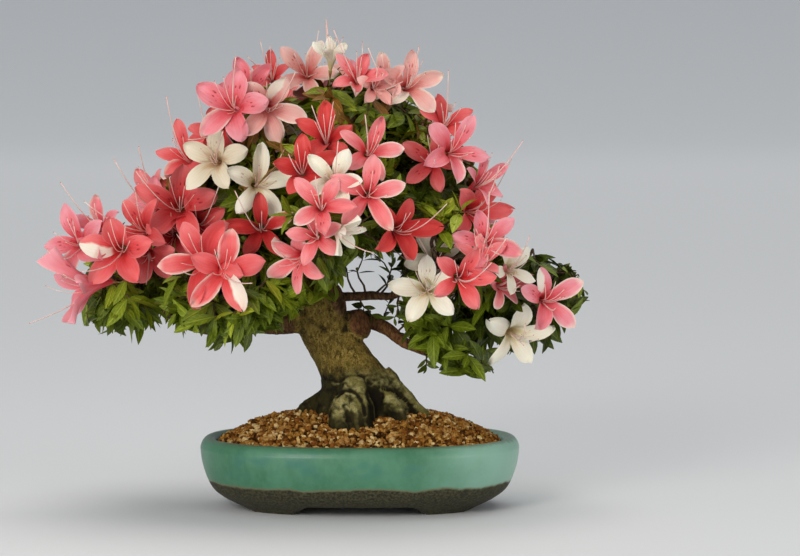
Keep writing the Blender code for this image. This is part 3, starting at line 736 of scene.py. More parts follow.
FOLDS = (
    # painted shade in the folds at the foot and along the trunk's edges higher up: points across
    # and up in the picture, half width and depth
    (((-16, 77), (-10, 79.5), (-4, 78), (1, 72), (4, 63)), 1.3, 1.6),
    (((-11, 69), (-9, 64), (-8, 59)), 1.4, 0.8),
    (((-24, 88), (-15, 86), (-8, 90), (1, 90), (8, 84), (11, 77)), 1.1, 0.8),
    (((10, 78), (11, 68), (10, 58)), 4.6, 2.2),
    (((16, 63), (24, 62), (32, 56)), 3.0, 0.4),
    (((14, 82), (24, 79), (33, 71), (38, 62)), 1.4, 1.2),
    (((-44, 136), (-34, 128), (-24, 121)), 2.0, 0.5),
    (((-14, 143), (-10, 132), (-10, 122)), 2.2, 0.6),
    (((-42, 127), (-39, 117), (-35, 107)), 2.4, 0.2),
)
FOLD_SHADE = 0.4
LIMB_STEPS = 8
LIMB_SIDES = 20
TRUNK_SIDES = 96
CROOK = 1.6


def trunk_skin():
    """Rings, level at the foot and higher up square to the lean, with flares by bearing."""
    route = smooth_line(TRUNK_KNOTS, LIMB_STEPS)
    hearts, radius = route[:, :3], route[:, 3]
    upright = np.clip(1 - (hearts[:, 2] - TRUNK_FOOT) / (FLARE_TOP - TRUNK_FOOT), 0, 1)[:, None]
    lean = unit(unit(np.gradient(hearts, axis=0)) * (1 - upright) + upright * np.array([0, 0, 1.0]))
    across = unit(np.cross(np.array([0, 1.0, 0]), lean))
    away = np.cross(lean, across)
    turn = circle(TRUNK_SIDES)
    wide = np.repeat(radius[:, None], TRUNK_SIDES, axis=1)
    for bearing, reach, width in FLARES:
        off = np.angle(np.exp(1j * (turn - math.radians(bearing))))
        wide = wide + reach * upright**1.5 * np.exp(-((off / math.radians(width)) ** 2))
    points = hearts[:, None] + wide[..., None] * around(turn, across[:, None], away[:, None])
    return points.reshape(-1, 3), tube_faces(len(route), TRUNK_SIDES)


def limb_skin(knots, crook=0.0):
    """A round limb through knots that hold a place and a radius, made crooked by rolling noise."""
    route = smooth_line(knots, LIMB_STEPS)
    line = route[:, :3]
    share = np.linspace(0, 1, len(line))[:, None]
    sway = np.stack([rolling_noise(line + off, 14.0) for off in (0.0, 50.0, 100.0)], -1)
    line = line + crook * sway * np.sin(np.pi * share) ** 0.7
    return sweep(line[None], route[None, :, 3], LIMB_SIDES)


def bough_knots(name):
    """The bough's knots with a radius at each, swollen where it leaves the trunk."""
    knots, root, tip = BOUGHS[name]
    share = np.linspace(0, 1, len(knots))
    return np.column_stack([knots, root + (tip - root) * share**0.85])


# %% A skin over all limbs
BARK_CELL = 0.95


def voxel_skin(points, faces, cell):
    """One closed skin over overlapping solids, with faces about as large as the cell."""
    rough = rough_solid("limbs", points * MM, faces)
    skin = rough.modifiers.new("skin", "REMESH")
    skin.mode = "VOXEL"
    skin.voxel_size = cell * MM
    done = applied(rough)
    bpy.data.objects.remove(rough)
    places = np.empty(len(done.vertices) * 3)
    done.vertices.foreach_get("co", places)
    corners = np.empty(len(done.loops), int)
    done.loops.foreach_get("vertex_index", corners)
    return places.reshape(-1, 3) / MM, corners.reshape(-1, 4)


def edges_of(quads):
    """Each edge of the quads once from either side."""
    return np.concatenate([quads[:, [i, (i + 1) % 4]] for i in range(4)])


def neighbour_mean(values, edges):
    """The mean of each point's neighbours, summed with bincount."""
    here, there, many = edges[:, 0], edges[:, 1], len(values)
    sums = [np.bincount(here, weights=v[there], minlength=many) for v in values.T]
    return np.stack(sums, -1) / np.maximum(np.bincount(here, minlength=many), 1)[:, None]


def relaxed(values, edges, times, share=0.5):
    """Every point moved part of the way to its neighbours' mean, several times over."""
    for _ in range(times):
        values = values + share * (neighbour_mean(values, edges) - values)
    return values


def point_normals(points, quads):
    """The mean direction of the faces round each point."""
    a, b, c, d = (points[quads[:, i]] for i in range(4))
    facing = np.cross(c - a, d - b)
    total = np.zeros_like(points)
    for i in range(4):
        for axis in range(3):
            summed = np.bincount(quads[:, i], weights=facing[:, axis], minlength=len(points))
            total[:, axis] += summed
    return unit(total)


limb_parts = [trunk_skin()]
limb_parts += [limb_skin(knots) for knots in KNEES]
limb_parts += [limb_skin(bough_knots(name), CROOK) for name in BOUGHS]
bark_points, bark_quads = voxel_skin(*joined(limb_parts), BARK_CELL)
bark_edges = np.concatenate([edges_of(bark_quads), edges_of(bark_quads)[:, ::-1]])
bark_points = relaxed(bark_points, bark_edges, 5)
print("bark skin:", len(bark_quads), "faces")

# %% [markdown]
# ## Relief in the bark
# Old azalea bark is thin. On the lean it is fairly smooth, with small flakes and shallow furrows
# that run up the trunk, while the knees and roots are folded and pitted. The relief is summed
# from noise of several sizes, stretched along the limb, and pushed out along the normals. How
# concave each point then is, against its relaxed neighbours, is kept for painted shade in the
# dips and painted light on the ridges.

# %% Bark relief
SCAR_PLACE = np.array([1.0, -12.0, 127.0])
SCAR_RADIUS = 8.5
SCAR_RING = 2.3


def trunk_distance(points):
    """How far a point stands outside the trunk's round core, in millimetres."""
    gap = np.full(len(points), 1e9)
    for heart in smooth_line(TRUNK_KNOTS, 4):
        gap = np.minimum(gap, np.linalg.norm(points - heart[:3], axis=1) - heart[3])
    return gap


def furrows(points, cell):
    """Sharp creases where the noise passes through zero."""
    return 1 - np.minimum(np.abs(rolling_noise(points, cell)) * 3.0, 1)


def bark_relief(points, normals, on_limb):
    """Gnarls, furrows, flakes and pits, deeper towards the foot and finer on the boughs."""
    low = ease((104 - points[:, 2]) / 30)
    leaning = points + np.array([0.45, 0, 0]) * points[:, 2:]
    stretched = leaning * np.array([1, 1, 0.34])
    height = (0.45 + 0.45 * low) * rolling_noise(points, 8.0)
    height += (0.30 + 0.05 * low) * rolling_noise(stretched, 2.9)
    height -= (0.38 - 0.12 * low) * furrows(stretched + 30, 5.2)
    height += 0.20 * rolling_noise(points + 60, 1.9)
    height -= 0.30 * ease(rolling_noise(points + 90, 2.6) * 2.2 - 0.9)
    height *= 1 - 0.45 * on_limb
    scar = points - SCAR_PLACE
    away = np.linalg.norm(scar * np.array([1, 0.35, 1]), axis=1)
    inside = ease((SCAR_RADIUS - away) / 1.2) * ease(-normals[:, 1] * 2 - 0.2)
    rings = 0.14 * np.cos(2 * np.pi * away / SCAR_RING) - 0.5
    height = height * (1 - 0.8 * inside) + inside * rings
    return height, inside


def fold_marks(points, normals):
    """How much painted shade each point takes and how far it sinks, by its distance from a crease
    line in the picture.
    """
    spot = np.stack(in_picture(points), -1)
    front = ease(-normals[:, 1] * 3 + 0.6) * ease((-4 - points[:, 1]) / 4)
    dark, sunk = np.zeros(len(points)), np.zeros(len(points))
    for line, half, depth in FOLDS:
        away = np.linalg.norm(spot[:, None] - smooth_line(line, 6)[None], axis=-1).min(axis=1)
        inside = ease((half * 1.5 + 0.8 * rolling_noise(points, 3.0) - away) / (half + 0.8)) * front
        dark = np.maximum(dark, inside * min(1.0, FOLD_SHADE + FOLD_SHADE * depth))
        sunk = np.maximum(sunk, inside * depth)
    return dark, sunk


gap = trunk_distance(bark_points)
on_limb = ease((gap - 2.5) / 4) * ease((bark_points[:, 2] - 98) / 8)
normals = point_normals(bark_points, bark_quads)
relief, scar_mark = bark_relief(bark_points, normals, on_limb)
fold, sunk = fold_marks(bark_points, normals)
bark_points = bark_points + (relief - sunk)[:, None] * normals
broad = relaxed(bark_points, bark_edges, 14)
fine = relaxed(bark_points, bark_edges, 3)
normals = point_normals(bark_points, bark_quads)
# how concave each point is, for painted shade in the dips and painted light on the ridges
relief_shading = np.einsum("ij,ij->i", broad - bark_points, normals)
relief_shading = 0.5 + 0.38 * relief_shading + 0.5 * np.einsum("ij,ij->i", fine - bark_points, normals)
# painted light on the knees: faces that turn up and towards the front are painted pale, the left of
# the foot stays dark as painted shade, and so do the parts near the soil and in the creases
worn = ease((0.85 * normals[:, 2] - 0.40 * normals[:, 1] - 0.50) / 0.34)
worn = worn * ease((102 - bark_points[:, 2]) / 10)
worn = worn * ease(1.3 + rolling_noise(bark_points + 15, 6.0))
worn = worn * ease((bark_points[:, 0] + 30) / 12) * ease((bark_points[:, 2] - 59) / 12)
marks = {"relief_shading": np.clip(relief_shading, 0, 1), "limb": on_limb, "scar": scar_mark}
marks.update(worn=worn * (1 - fold), fold=fold)
print("relief", relief.min().round(2), "to", relief.max().round(2), "mm")

# %% Bark finish
def bark_finish():
    """Beige bark on the lean, green-black folds at the foot, brown boughs; painted light on knee
    tops, painted shade in creases.
    """
    f = Finish("azalea_bark", 0.86, 0.15)
    where = f.place()
    across, _, height = f.parts(where)
    relief_shading = f.mark("relief_shading")
    patch = f.noise(where, 7.0, 4)
    flake = f.noise(f.place((1, 1, 0.4)), 1.7, 5, 0.65)
    fleck = f.noise(where, 1.0, 3)
    pale = f.blend(patch, 0.35, 0.65, (134, 112, 52), (80, 66, 26))
    pale = f.layer(pale, flake, 0.45, 0.62, (152, 130, 68))
    pale = f.layer(pale, f.noise(where, 15.0, 3), 0.5, 0.7, (92, 86, 32), 0.5)
    pale = f.layer(pale, fleck, 0.54, 0.64, (56, 40, 18), 0.8)
    folded = f.blend(patch, 0.35, 0.6, (22, 20, 9), (50, 46, 20))
    # painted light: the ridges of the foot are lightened
    folded = f.layer(folded, relief_shading, 0.44, 0.20, (96, 90, 50), 0.5)
    # the pale colour that the knee tops take as painted light
    smooth = f.blend(patch, 0.4, 0.6, (126, 120, 66), (170, 162, 110))
    smooth = f.layer(smooth, fleck, 0.50, 0.64, (84, 78, 40), 0.55)
    folded = f.mix(f.mark("worn"), folded, smooth)
    folded = f.layer(folded, flake, 0.55, 0.7, (48, 42, 26), 0.5)
    shade = f.mix(f.spread(f.plus(height, f.times(patch, 26)), 102, 116), folded, pale)
    brown = f.blend(flake, 0.38, 0.62, (64, 44, 30), (112, 82, 54))
    rust = f.blend(flake, 0.4, 0.6, (104, 64, 36), (158, 110, 66))
    rusty = f.times(f.spread(across, 4, 20), f.spread(height, 140, 128, 0, 0.45))
    shade = f.mix(f.mark("limb"), shade, f.mix(rusty, brown, rust))
    # painted shade in the creases at the foot and along the trunk's edges
    shade = f.over(shade, f.times(f.mark("fold"), 0.9), (16, 13, 6))
    ringed = f.blend(flake, 0.38, 0.62, (136, 92, 58), (82, 54, 34))
    shade = f.mix(f.mark("scar"), shade, ringed)
    # painted shade: the dips of the bark are darkened almost to black
    f.colour(f.layer(shade, relief_shading, 0.54, 0.82, (30, 24, 15), 0.92))
    f.bump(f.plus(flake, f.times(fleck, 0.6)), 0.8, 0.7)
    return f.material


piece("bark_of_trunk_and_boughs", bark_points, [bark_quads], bark_finish(), "bark",
      ["trunk", *BOUGHS], marks=marks)

# %% [markdown]
# ## How the crown grows
# Each mass of foliage fills the box that its solid has in the frame. The rule is the solid's:
# a stem runs from the bough's tip to the heart of the mass, side twigs leave it for a few hubs,
# and thinner twigs run from the nearest hub to tips spread evenly by the golden angle. Here it is
# carried further, to many more tips, in an outer and an inner shell, so that the crown is full
# and still shows sky where the photograph does.

# %% Masses of foliage
MASS_NAMES = (
    "left_low", "left_front", "left_upper", "top_left", "top", "front", "right_upper",
    "right_middle", "right_low", "back_left", "back_right", "back_top",
)
# each mass and the bough that carries it: the leader carries the top
MASSES = {f"{name}_foliage": f"{name}_bough" for name in MASS_NAMES}
MASSES["top_foliage"] = "leader_bough"
GOLDEN_ANGLE = math.pi * (3 - math.sqrt(5))
HEART_SHARE = 0.62
HUBS = 9
HUB_REACH = 0.50
OUTER_TIPS = 90
OUTER_REACH = (0.76, 0.96)
INNER_TIPS = 18
INNER_REACH = (0.42, 0.64)
SKY_ACROSS = (-7, 25)
SKY_UP = (108, 170)
LOWEST_LEAF = 92
PROUD = (16.0, 5.0, 14.0)
LEAST_SHARE = 0.3
STRAY = 0.16
KINK = 0.35

LEAF_OUTLINE = (
    # the leaves' outline in the picture, across and up, from the right bottom round to the left
    (10, 113), (13, 101), (20, 102), (24, 112), (43, 105), (53, 91), (64, 95), (75, 91), (93, 84),
    (102, 104), (118, 106), (134, 98), (142, 118), (152, 134), (161, 148), (147, 166), (130, 176),
    (116, 177), (100, 180), (94, 192), (87, 208), (86, 226), (80, 243), (66, 253), (55, 266),
    (45, 280), (29, 289), (14, 298), (-8, 303), (-21, 306), (-35, 302), (-48, 298), (-62, 295),
    (-83, 291), (-93, 281), (-100, 262), (-107, 246), (-119, 238), (-135, 224), (-147, 206),
    (-172, 192), (-186, 181), (-191, 160), (-191, 120), (-181, 120), (-176, 107), (-169, 108),
    (-165, 119), (-159, 119), (-156, 104), (-150, 107), (-147, 119), (-118, 122), (-106, 120),
    (-103, 105), (-96, 107), (-93, 118), (-87, 118), (-85, 105), (-78, 108), (-75, 118),
    (-66, 118), (-50, 123), (-42, 132), (-21, 142), (-6, 142),
)

boxes = np.array([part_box(name) for name in MASSES]) / MM - HOME / MM
CENTRES = boxes.mean(axis=1)
HALVES = (boxes[:, 1] - boxes[:, 0]) / 2
ROOM_LOW = np.array(CAD_LOW) / MM - HOME / MM - PROUD
ROOM_HIGH = np.array(CAD_HIGH) / MM - HOME / MM + PROUD


def levels(points):
    """For every mass, how far out each point lies: 0 in its middle and 1 on its ellipsoid."""
    return np.linalg.norm((points[None] - CENTRES[:, None]) / HALVES[:, None], axis=-1)


def within_outline(points):
    """True inside the outline: a level line to the right crosses it an odd number of times."""
    across, up = (part[:, None] for part in in_picture(points))
    x, y = np.array(LEAF_OUTLINE, float).T
    next_x, next_y = np.roll(x, -1), np.roll(y, -1)
    rise = np.where(next_y == y, 1e-9, next_y - y)
    crossing = x + (up - y) / rise * (next_x - x)
    return (((y > up) != (next_y > up)) & (across < crossing)).sum(axis=1) % 2 == 1


def open_place(points, margin):
    """True where foliage may stand: clear of the trunk, the sky gap and the soil."""
    across, up = in_picture(points)
    sky = (across > SKY_ACROSS[0] - margin) & (across < SKY_ACROSS[1] + margin)
    sky &= (up > SKY_UP[0] - margin) & (up < SKY_UP[1] + margin)
    return ~sky & (trunk_distance(points) > margin) & (points[:, 2] > LOWEST_LEAF)


def held_in(lines):
    """Lines drawn in towards their first point until they end inside the room round the solids."""
    start, reach = lines[:, 0], lines[:, -1] - lines[:, 0]
    room = np.where(reach > 0, ROOM_HIGH - start, ROOM_LOW - start)
    reach = np.where(np.abs(reach) < 1e-6, 1e-6, reach)
    share = np.clip((room / reach).min(axis=1), LEAST_SHARE, 1)
    return start[:, None] + (lines - start[:, None]) * share[:, None, None]


def golden_directions(count, rng):
    """Directions spread evenly over a ball by the golden angle, each strayed a little."""
    height = 1 - (np.arange(count) + 0.5) * 2 / count
    turn = np.arange(count) * GOLDEN_ANGLE + rng.uniform(0, 2 * np.pi)
    flat = np.sqrt(1 - height**2)
    even = np.stack([flat * np.cos(turn), flat * np.sin(turn), height], -1)
    return unit(even + rng.normal(0, STRAY, even.shape))


def twig_lines(starts, ends, rng, steps=6, bend=0.10):
    """Curved lines from start to end: a straight run with an arched and a wandering part added."""
    share = np.linspace(0, 1, steps)[None, :, None]
    run = ends - starts
    length = np.linalg.norm(run, axis=1, keepdims=True)
    sway = rng.normal(0, bend, run.shape) * length
    kink = rng.normal(0, bend * KINK, (len(run), steps, 3)) * length[:, None]
    arch = np.sin(np.pi * share)
    return starts[:, None] + run[:, None] * share + sway[:, None] * arch + kink * arch


def nearest(points, sites):
    """For each point, the number of the nearest site."""
    return np.argmin(np.linalg.norm(points[:, None] - sites[None], axis=-1), axis=1)


# %% [markdown]
# ## The blossoms that face the front
# Where a blossom shows in the photograph it is placed one by one: across and up in the picture, how
# far it stands behind the crown's skin, the way it faces, its size, how far it has opened and its
# colour. Five letters say what each petal is like, from the upper one round to the left: plain,
# blotched, edged with white or half white. Its depth is worked out from the front of the crown
# along the line of sight, so that it stands on the foliage from any side.

# %% Front blossoms
FRONT_SINK = 14
FRONT_MASSES = 30
FRONT_BLOSSOMS = (
    # across, up, behind, turn to the right, lift, roll, size, opening, colour, petals
    (-194, 182, 0, -18, 6, 24, 26, 0.70, "rose", "bbrpp"),
    (-187, 153, -6, -74, -8, 0, 30, 0.56, "rose", "bpppp"),
    (-180, 193, 6, -24, 30, 8, 19, 0.64, "rose", "rpprp"),
    (-166, 177, -6, -6, -2, 0, 30, 0.62, "coral", "phppb"),
    (-150, 191, -2, -22, 8, 30, 26, 0.66, "coral", "bbppp"),
    (-130, 187, 4, -10, -6, 12, 25, 0.66, "coral", "bpppb"),
    (-125, 207, -4, -2, 6, -8, 31, 0.60, "coral", "bbppb"),
    (-146, 174, 6, 0, -30, 16, 20, 0.70, "coral", "ppppp"),
    (-137, 203, 4, -30, 12, 4, 23, 0.66, "rose", "bprpp"),
    (-140, 214, 8, -50, 22, 40, 21, 0.60, "pink", "ppppp"),
    (-112, 196, 4, 10, -4, 20, 23, 0.66, "coral", "ppppp"),
    (-108, 170, 4, -16, 4, 36, 31, 0.86, "coral", "prppp"),
    (-94, 163, -6, 8, -4, -10, 28, 0.90, "coral", "rprhp"),
    (-119, 241, 6, -28, 26, 10, 24, 0.66, "coral", "bprpp"),
    (-100, 239, -6, -12, 6, -6, 24, 0.86, "cream", "bpppp"),
    (-71, 223, -16, 16, 6, -4, 24, 0.92, "white", "pbppp"),
    (-68, 192, -58, 0, 0, 8, 22, 0.94, "red", "ppppr"),
    (-40, 232, 5, 0, 14, 8, 22, 0.84, "red", "ppppp"),
    (-23, 254, 4, 0, 36, 4, 22, 0.76, "red", "ppppp"),
    (6, 245, 2, 10, 14, -12, 22, 0.80, "pink", "bpprr"),
    (-18, 225, 0, 0, 10, -20, 20, 0.88, "white", "ppppp"),
    (6, 216, -4, 6, 2, -6, 25, 0.92, "pink", "bpprr"),
    (-27, 207, -4, 0, 10, 46, 22, 0.84, "pink", "prbpp"),
    (-30, 187, -2, -8, 4, 10, 20, 0.76, "pink", "bpppr"),
    (-42, 172, 0, -30, -16, 40, 22, 0.84, "pink", "rrbpp"),
    (-15, 191, -2, 56, -24, 10, 19, 0.50, "white", "ppppp"),
    (-88, 276, -8, -10, 8, -10, 27, 0.80, "rose", "bbrpb"),
    (-97, 261, 8, -20, -18, 6, 20, 0.70, "coral", "ppprp"),
    (-76, 287, 8, -6, 20, 22, 22, 0.66, "rose", "bpppb"),
    (-64, 276, -6, 14, -6, 50, 26, 0.78, "blush", "bprrh"),
    (-61, 297, 6, -4, 40, 0, 16, 0.66, "coral", "ppppp"),
    (-37, 299, 0, -4, 12, 50, 23, 0.80, "blush", "bprrr"),
    (-20, 309, 0, 10, 66, 0, 16, 0.36, "white", "ppppp"),
    (-2, 296, 0, 0, 26, 45, 21, 0.74, "pink", "bprpp"),
    (10, 290, 4, 20, 6, 0, 15, 0.70, "blush", "bpppp"),
    (33, 291, -2, 16, 14, -2, 23, 0.84, "blush", "bphrr"),
    (19, 295, 6, -14, 20, 12, 17, 0.74, "blush", "rprpp"),
    (51, 238, 4, -6, 2, 50, 23, 0.76, "coral", "bbppb"),
    (64, 246, -6, 22, 12, -35, 26, 0.78, "rose", "bpprb"),
    (59, 265, 4, 14, 30, 0, 19, 0.74, "coral", "ppppp"),
    (82, 223, 0, 48, 26, 0, 20, 0.64, "rose", "bpppp"),
    (78, 204, -2, 34, -4, -20, 27, 0.70, "coral", "bpprp"),
    (86, 183, -4, 12, 8, 18, 24, 0.84, "rose", "bbrrp"),
    (26, 192, -2, 30, 0, -22, 23, 0.86, "red", "ppppp"),
    (46, 150, -74, -6, 2, 13, 25, 0.86, "white", "bpppp"),
    (52, 170, 47, 4, 14, 22, 22, 0.90, "white", "ppppp"),
    (69, 158, -10, 12, -2, -18, 24, 0.54, "coral", "bpppb"),
    (83, 169, 0, 6, 30, 2, 20, 0.60, "pink", "rpppp"),
    (97, 153, -2, 44, 0, 10, 17, 0.80, "pink", "bprrp"),
    (103, 164, -8, 30, 10, 20, 18, 0.84, "white", "ppppp"),
    (129, 143, 0, 22, 4, 5, 24, 0.84, "rose", "hbprr"),
    (106, 119, 0, 26, -18, -6, 25, 0.80, "white", "ppppp"),
)


def crown_front(across, up):
    """The depth of the crown's nearest skin along each line of sight, found in a few rounds."""
    back = np.zeros(len(across))
    ahead = CENTRES[:, 1] < FRONT_MASSES
    centres, halves = CENTRES[ahead], HALVES[ahead]
    for _ in range(4):
        places = seen_at(across, up, back)
        flat = (places[None] - centres[:, None]) / halves[:, None]
        square = flat[..., 0] ** 2 + flat[..., 2] ** 2
        skin = centres[:, None, 1] - halves[:, None, 1] * np.sqrt(np.clip(1 - square, 0, 1))
        inside = square < 1
        outside = centres[np.argmin(square, axis=0), 1]
        back = np.where(inside.any(axis=0), np.where(inside, skin, 1e9).min(axis=0), outside)
    return back


def facing(turn, lift):
    """The way a blossom faces: 0, 0 is to the viewer, turn is to the right and lift is up."""
    turn, lift = np.radians(turn), np.radians(lift)
    return np.stack([np.sin(turn) * np.cos(lift), -np.cos(turn) * np.cos(lift), np.sin(lift)], -1)


front = np.array([row[:8] for row in FRONT_BLOSSOMS], float).T
front_colours = [row[8] for row in FRONT_BLOSSOMS]
front_petals = [row[9] for row in FRONT_BLOSSOMS]
front_depth = crown_front(front[0], front[1]) + FRONT_SINK + front[2]
front_places = seen_at(front[0], front[1], front_depth)
print(len(front_places), "blossoms at the front, from", front_depth.min().round(), "mm deep")

# %% [markdown]
# ## The blossoms on the other sides
# Nothing of the tree's back shows in the photograph, so it flowers by rule: directions spread
# over every mass, kept where they come out of the crown, face up or outwards, and stand clear of
# the blossoms that are there already. Neighbours share a colour, as they do on one shoot.

# %% Blossoms by rule
RULE_DIRECTIONS = 60
RULE_REACH = (0.84, 0.92)
RULE_APART = 28.0
RULE_INSIDE = 0.90
RULE_MARGIN = 16.0
RULE_BEHIND = 12.0
RULE_ROOM = 18.0
RULE_OUTSIDE = 0.90
RULE_DOWN = -0.30
RULE_FORWARD = -0.15
RULE_CLEAR = 28
RULE_LIFT = np.array([0, 0, 0.25])
RULE_COLOURS = ("pink", "coral", "blush", "red", "coral", "white", "rose", "coral", "rose")
RULE_PETALS = ("bpppp", "bprpp", "brppr", "bpppr", "ppprh")


def rule_blossoms():
    """Places and directions over the sides, the top and the back of the crown."""
    rng = np.random.default_rng(31)
    kept = list(front_places)
    found = []
    middles = in_picture(CENTRES)
    for number, (centre, half) in enumerate(zip(CENTRES, HALVES)):
        aims = golden_directions(RULE_DIRECTIONS, rng)
        places = centre + aims * half * rng.uniform(*RULE_REACH, (len(aims), 1))
        outward = unit(aims / half)
        others = np.delete(levels(places), number, axis=0).min(axis=0)
        across, up = (here[:, None] - middle for here, middle in zip(in_picture(places), middles))
        flat = np.hypot(across / HALVES[:, 0], up / HALVES[:, 2]).min(axis=1)
        wanted = (others > RULE_OUTSIDE) & (flat < RULE_INSIDE) & open_place(places, RULE_CLEAR)
        wanted &= (outward[:, 2] > RULE_DOWN) & (outward[:, 1] > RULE_FORWARD)
        wanted &= places[:, 1] > RULE_BEHIND
        wanted &= (places < ROOM_HIGH - PROUD - RULE_ROOM).all(axis=1)
        for step in ((1, 0, 0), (-1, 0, 0), (0, 0, 1), (0, 0, -1)):
            wanted &= within_outline(places + RULE_MARGIN * np.array(step))
        for place, out in zip(places[wanted], outward[wanted]):
            apart = np.linalg.norm(np.array(kept) - place, axis=1).min()
            if apart > RULE_APART:
                kept.append(place)
                found.append((place, out))
    places, out = (np.array(part) for part in zip(*found))
    axis = unit(out + RULE_LIFT + rng.normal(0, 0.22, out.shape))
    hue = rolling_noise(places + 200, 34.0) * 0.5 + 0.5 + rng.normal(0, 0.10, len(places))
    pick = np.argsort(np.argsort(hue)) * len(RULE_COLOURS) // len(hue)
    return places, axis, np.array(RULE_COLOURS)[pick], rng


rule_places, rule_axes, rule_colours, rule_rng = rule_blossoms()
count = len(rule_places)
places = np.concatenate([front_places, rule_places])
axes = np.concatenate([facing(front[3], front[4]), rule_axes])
rolls = np.concatenate([front[5], rule_rng.uniform(-36, 36, count)])
bloom_sizes = np.concatenate([front[6], rule_rng.uniform(20, 26, count)])
openings = np.concatenate([front[7], rule_rng.uniform(0.55, 0.95, count)])
colours = np.concatenate([front_colours, rule_colours])
patterns = np.concatenate([front_petals, rule_rng.choice(RULE_PETALS, count)])
print(count, "more blossoms by rule")

# %% [markdown]
# ## A blossom
# An azalea blossom is one funnel that splits into five petals. Along a petal the centre line
# first runs up the funnel, then leans out and rolls back. Across, the funnel's five parts make a
# full circle, and further out each petal is a narrow rounded blade with a cupped, ruffled edge.
# All petals of all blossoms are one array of rows and columns.

# %% Petal shape
PETALS = 5
PETAL_ROWS = np.array([0, 0.10, 0.21, 0.31, 0.41, 0.51, 0.61, 0.71, 0.80, 0.88, 0.94, 0.98, 1])
PETAL_COLUMNS = np.linspace(-1, 1, 7)
WIDTH_STATIONS = (0, 0.10, 0.21, 0.32, 0.43, 0.54, 0.64, 0.73, 0.81, 0.88, 0.94, 0.98, 1)
WIDTH_SHARES = (0.042, 0.066, 0.094, 0.130, 0.176, 0.220, 0.248,
                0.256, 0.240, 0.196, 0.132, 0.068, 0.016)
TUBE_SHARE = 0.30
PETAL_RUN = 1.42
TUBE_LEAN = math.radians(13)
TUBE_START = 0.055
TUBE_DEPTH = 0.52
CLOSED_LEAN = 20
OPEN_LEAN = 62
PETAL_LENGTHS = (0.88, 1.12)
TIP_ROLLS = (0.2, 1.5)
CUP = 0.08
CUP_STRAY = 0.17
RUFFLE = 0.060
TWIST = 0.34
GROOVE = 0.030


def blossom_frames(axis, roll):
    """For each blossom its upper petal's direction and the one square to it, after the roll."""
    up = np.where(np.abs(axis[:, 2:]) > 0.94, np.array([0, 0.6, 0.8]), np.array([0, 0, 1.0]))
    top = unit(up - (up * axis).sum(axis=1, keepdims=True) * axis)
    side = np.cross(axis, top)
    turn = np.radians(roll)
    return around(turn, top, side), around(turn, side, -top)


def petal_surface(base, axis, roll, size, opening, rng):
    """Rows and columns of points for five petals on every blossom.

    The centre line's lean from the axis grows from the funnel's to the open petal's, and adding up
    sin(lean) and cos(lean) gives its distance out and height. Across, a point turns round the axis
    by width / distance. Cup, ruffle and twist lift the edge off the surface.
    """
    count = len(base)
    top, side = blossom_frames(axis, roll)
    angle = circle(PETALS) + rng.normal(0, 0.09, (count, PETALS))
    radial = around(angle, top[:, None], side[:, None])
    across = np.cross(axis[:, None], radial)
    opened = opening[:, None] + rng.normal(0, 0.07, (count, PETALS))
    longer = size[:, None] * PETAL_RUN * rng.uniform(*PETAL_LENGTHS, (count, PETALS))
    v = PETAL_ROWS
    lean_tip = np.radians(CLOSED_LEAN + OPEN_LEAN * opened)[..., None]
    lean = TUBE_LEAN + (lean_tip - TUBE_LEAN) * ease((v - 0.08) / 0.74)
    lean = lean + rng.uniform(*TIP_ROLLS, (count, PETALS, 1)) * np.clip(v - 0.62, 0, 1)
    step = np.diff(v) * longer[..., None]
    middle = (lean[..., 1:] + lean[..., :-1]) / 2
    zero = np.zeros((count, PETALS, 1))
    start = TUBE_START * size[:, None, None]
    out = start + np.concatenate([zero, np.cumsum(np.sin(middle) * step, -1)], -1)
    rise = np.concatenate([zero, np.cumsum(np.cos(middle) * step, -1)], -1)
    wide = np.interp(v, WIDTH_STATIONS, WIDTH_SHARES) * size[:, None, None]
    wide = wide * rng.uniform(0.92, 1.14, (count, 1, 1))
    wide = wide * rng.uniform(0.92, 1.08, (count, PETALS, 1))
    u = PETAL_COLUMNS
    limb = np.clip((v - TUBE_SHARE) / (1 - TUBE_SHARE), 0, 1)[:, None]
    turn = np.clip(wide / out, 0, 1.05)[..., None] * u
    large = size[:, None, None, None]
    cup = rng.normal(CUP, CUP_STRAY, (count, PETALS, 1, 1)) * large
    phase = rng.uniform(0, 2 * np.pi, (count, PETALS, 1, 1))
    ruffle = RUFFLE * large * np.sin(phase + 8.0 * v[:, None] + 1.4 * u)
    twist = rng.normal(0, TWIST, (count, PETALS, 1, 1)) * wide[..., None] * u
    groove = -GROOVE * large * np.exp(-((u / 0.25) ** 2))
    lift = (cup * u**2 + ruffle * np.abs(u) ** 1.5 + twist + groove) * limb
    sin, cos = np.sin(lean)[..., None], np.cos(lean)[..., None]
    outward = out[..., None] * np.cos(turn) - lift * cos
    upward = rise[..., None] + lift * sin
    sideways = out[..., None] * np.sin(turn)
    points = base[:, None, None, None] + outward[..., None] * radial[:, :, None, None]
    points = points + sideways[..., None] * across[:, :, None, None]
    return points + upward[..., None] * axis[:, None, None, None]


# %% [markdown]
# ## Colour on a petal
# A petal's own map runs across from edge to edge and along from the funnel to the tip. The map
# holds four petals in its quarters: a plain one, a blotched one, one with a pale rim, and one that
# is white over half its width. A petal takes one of the four.

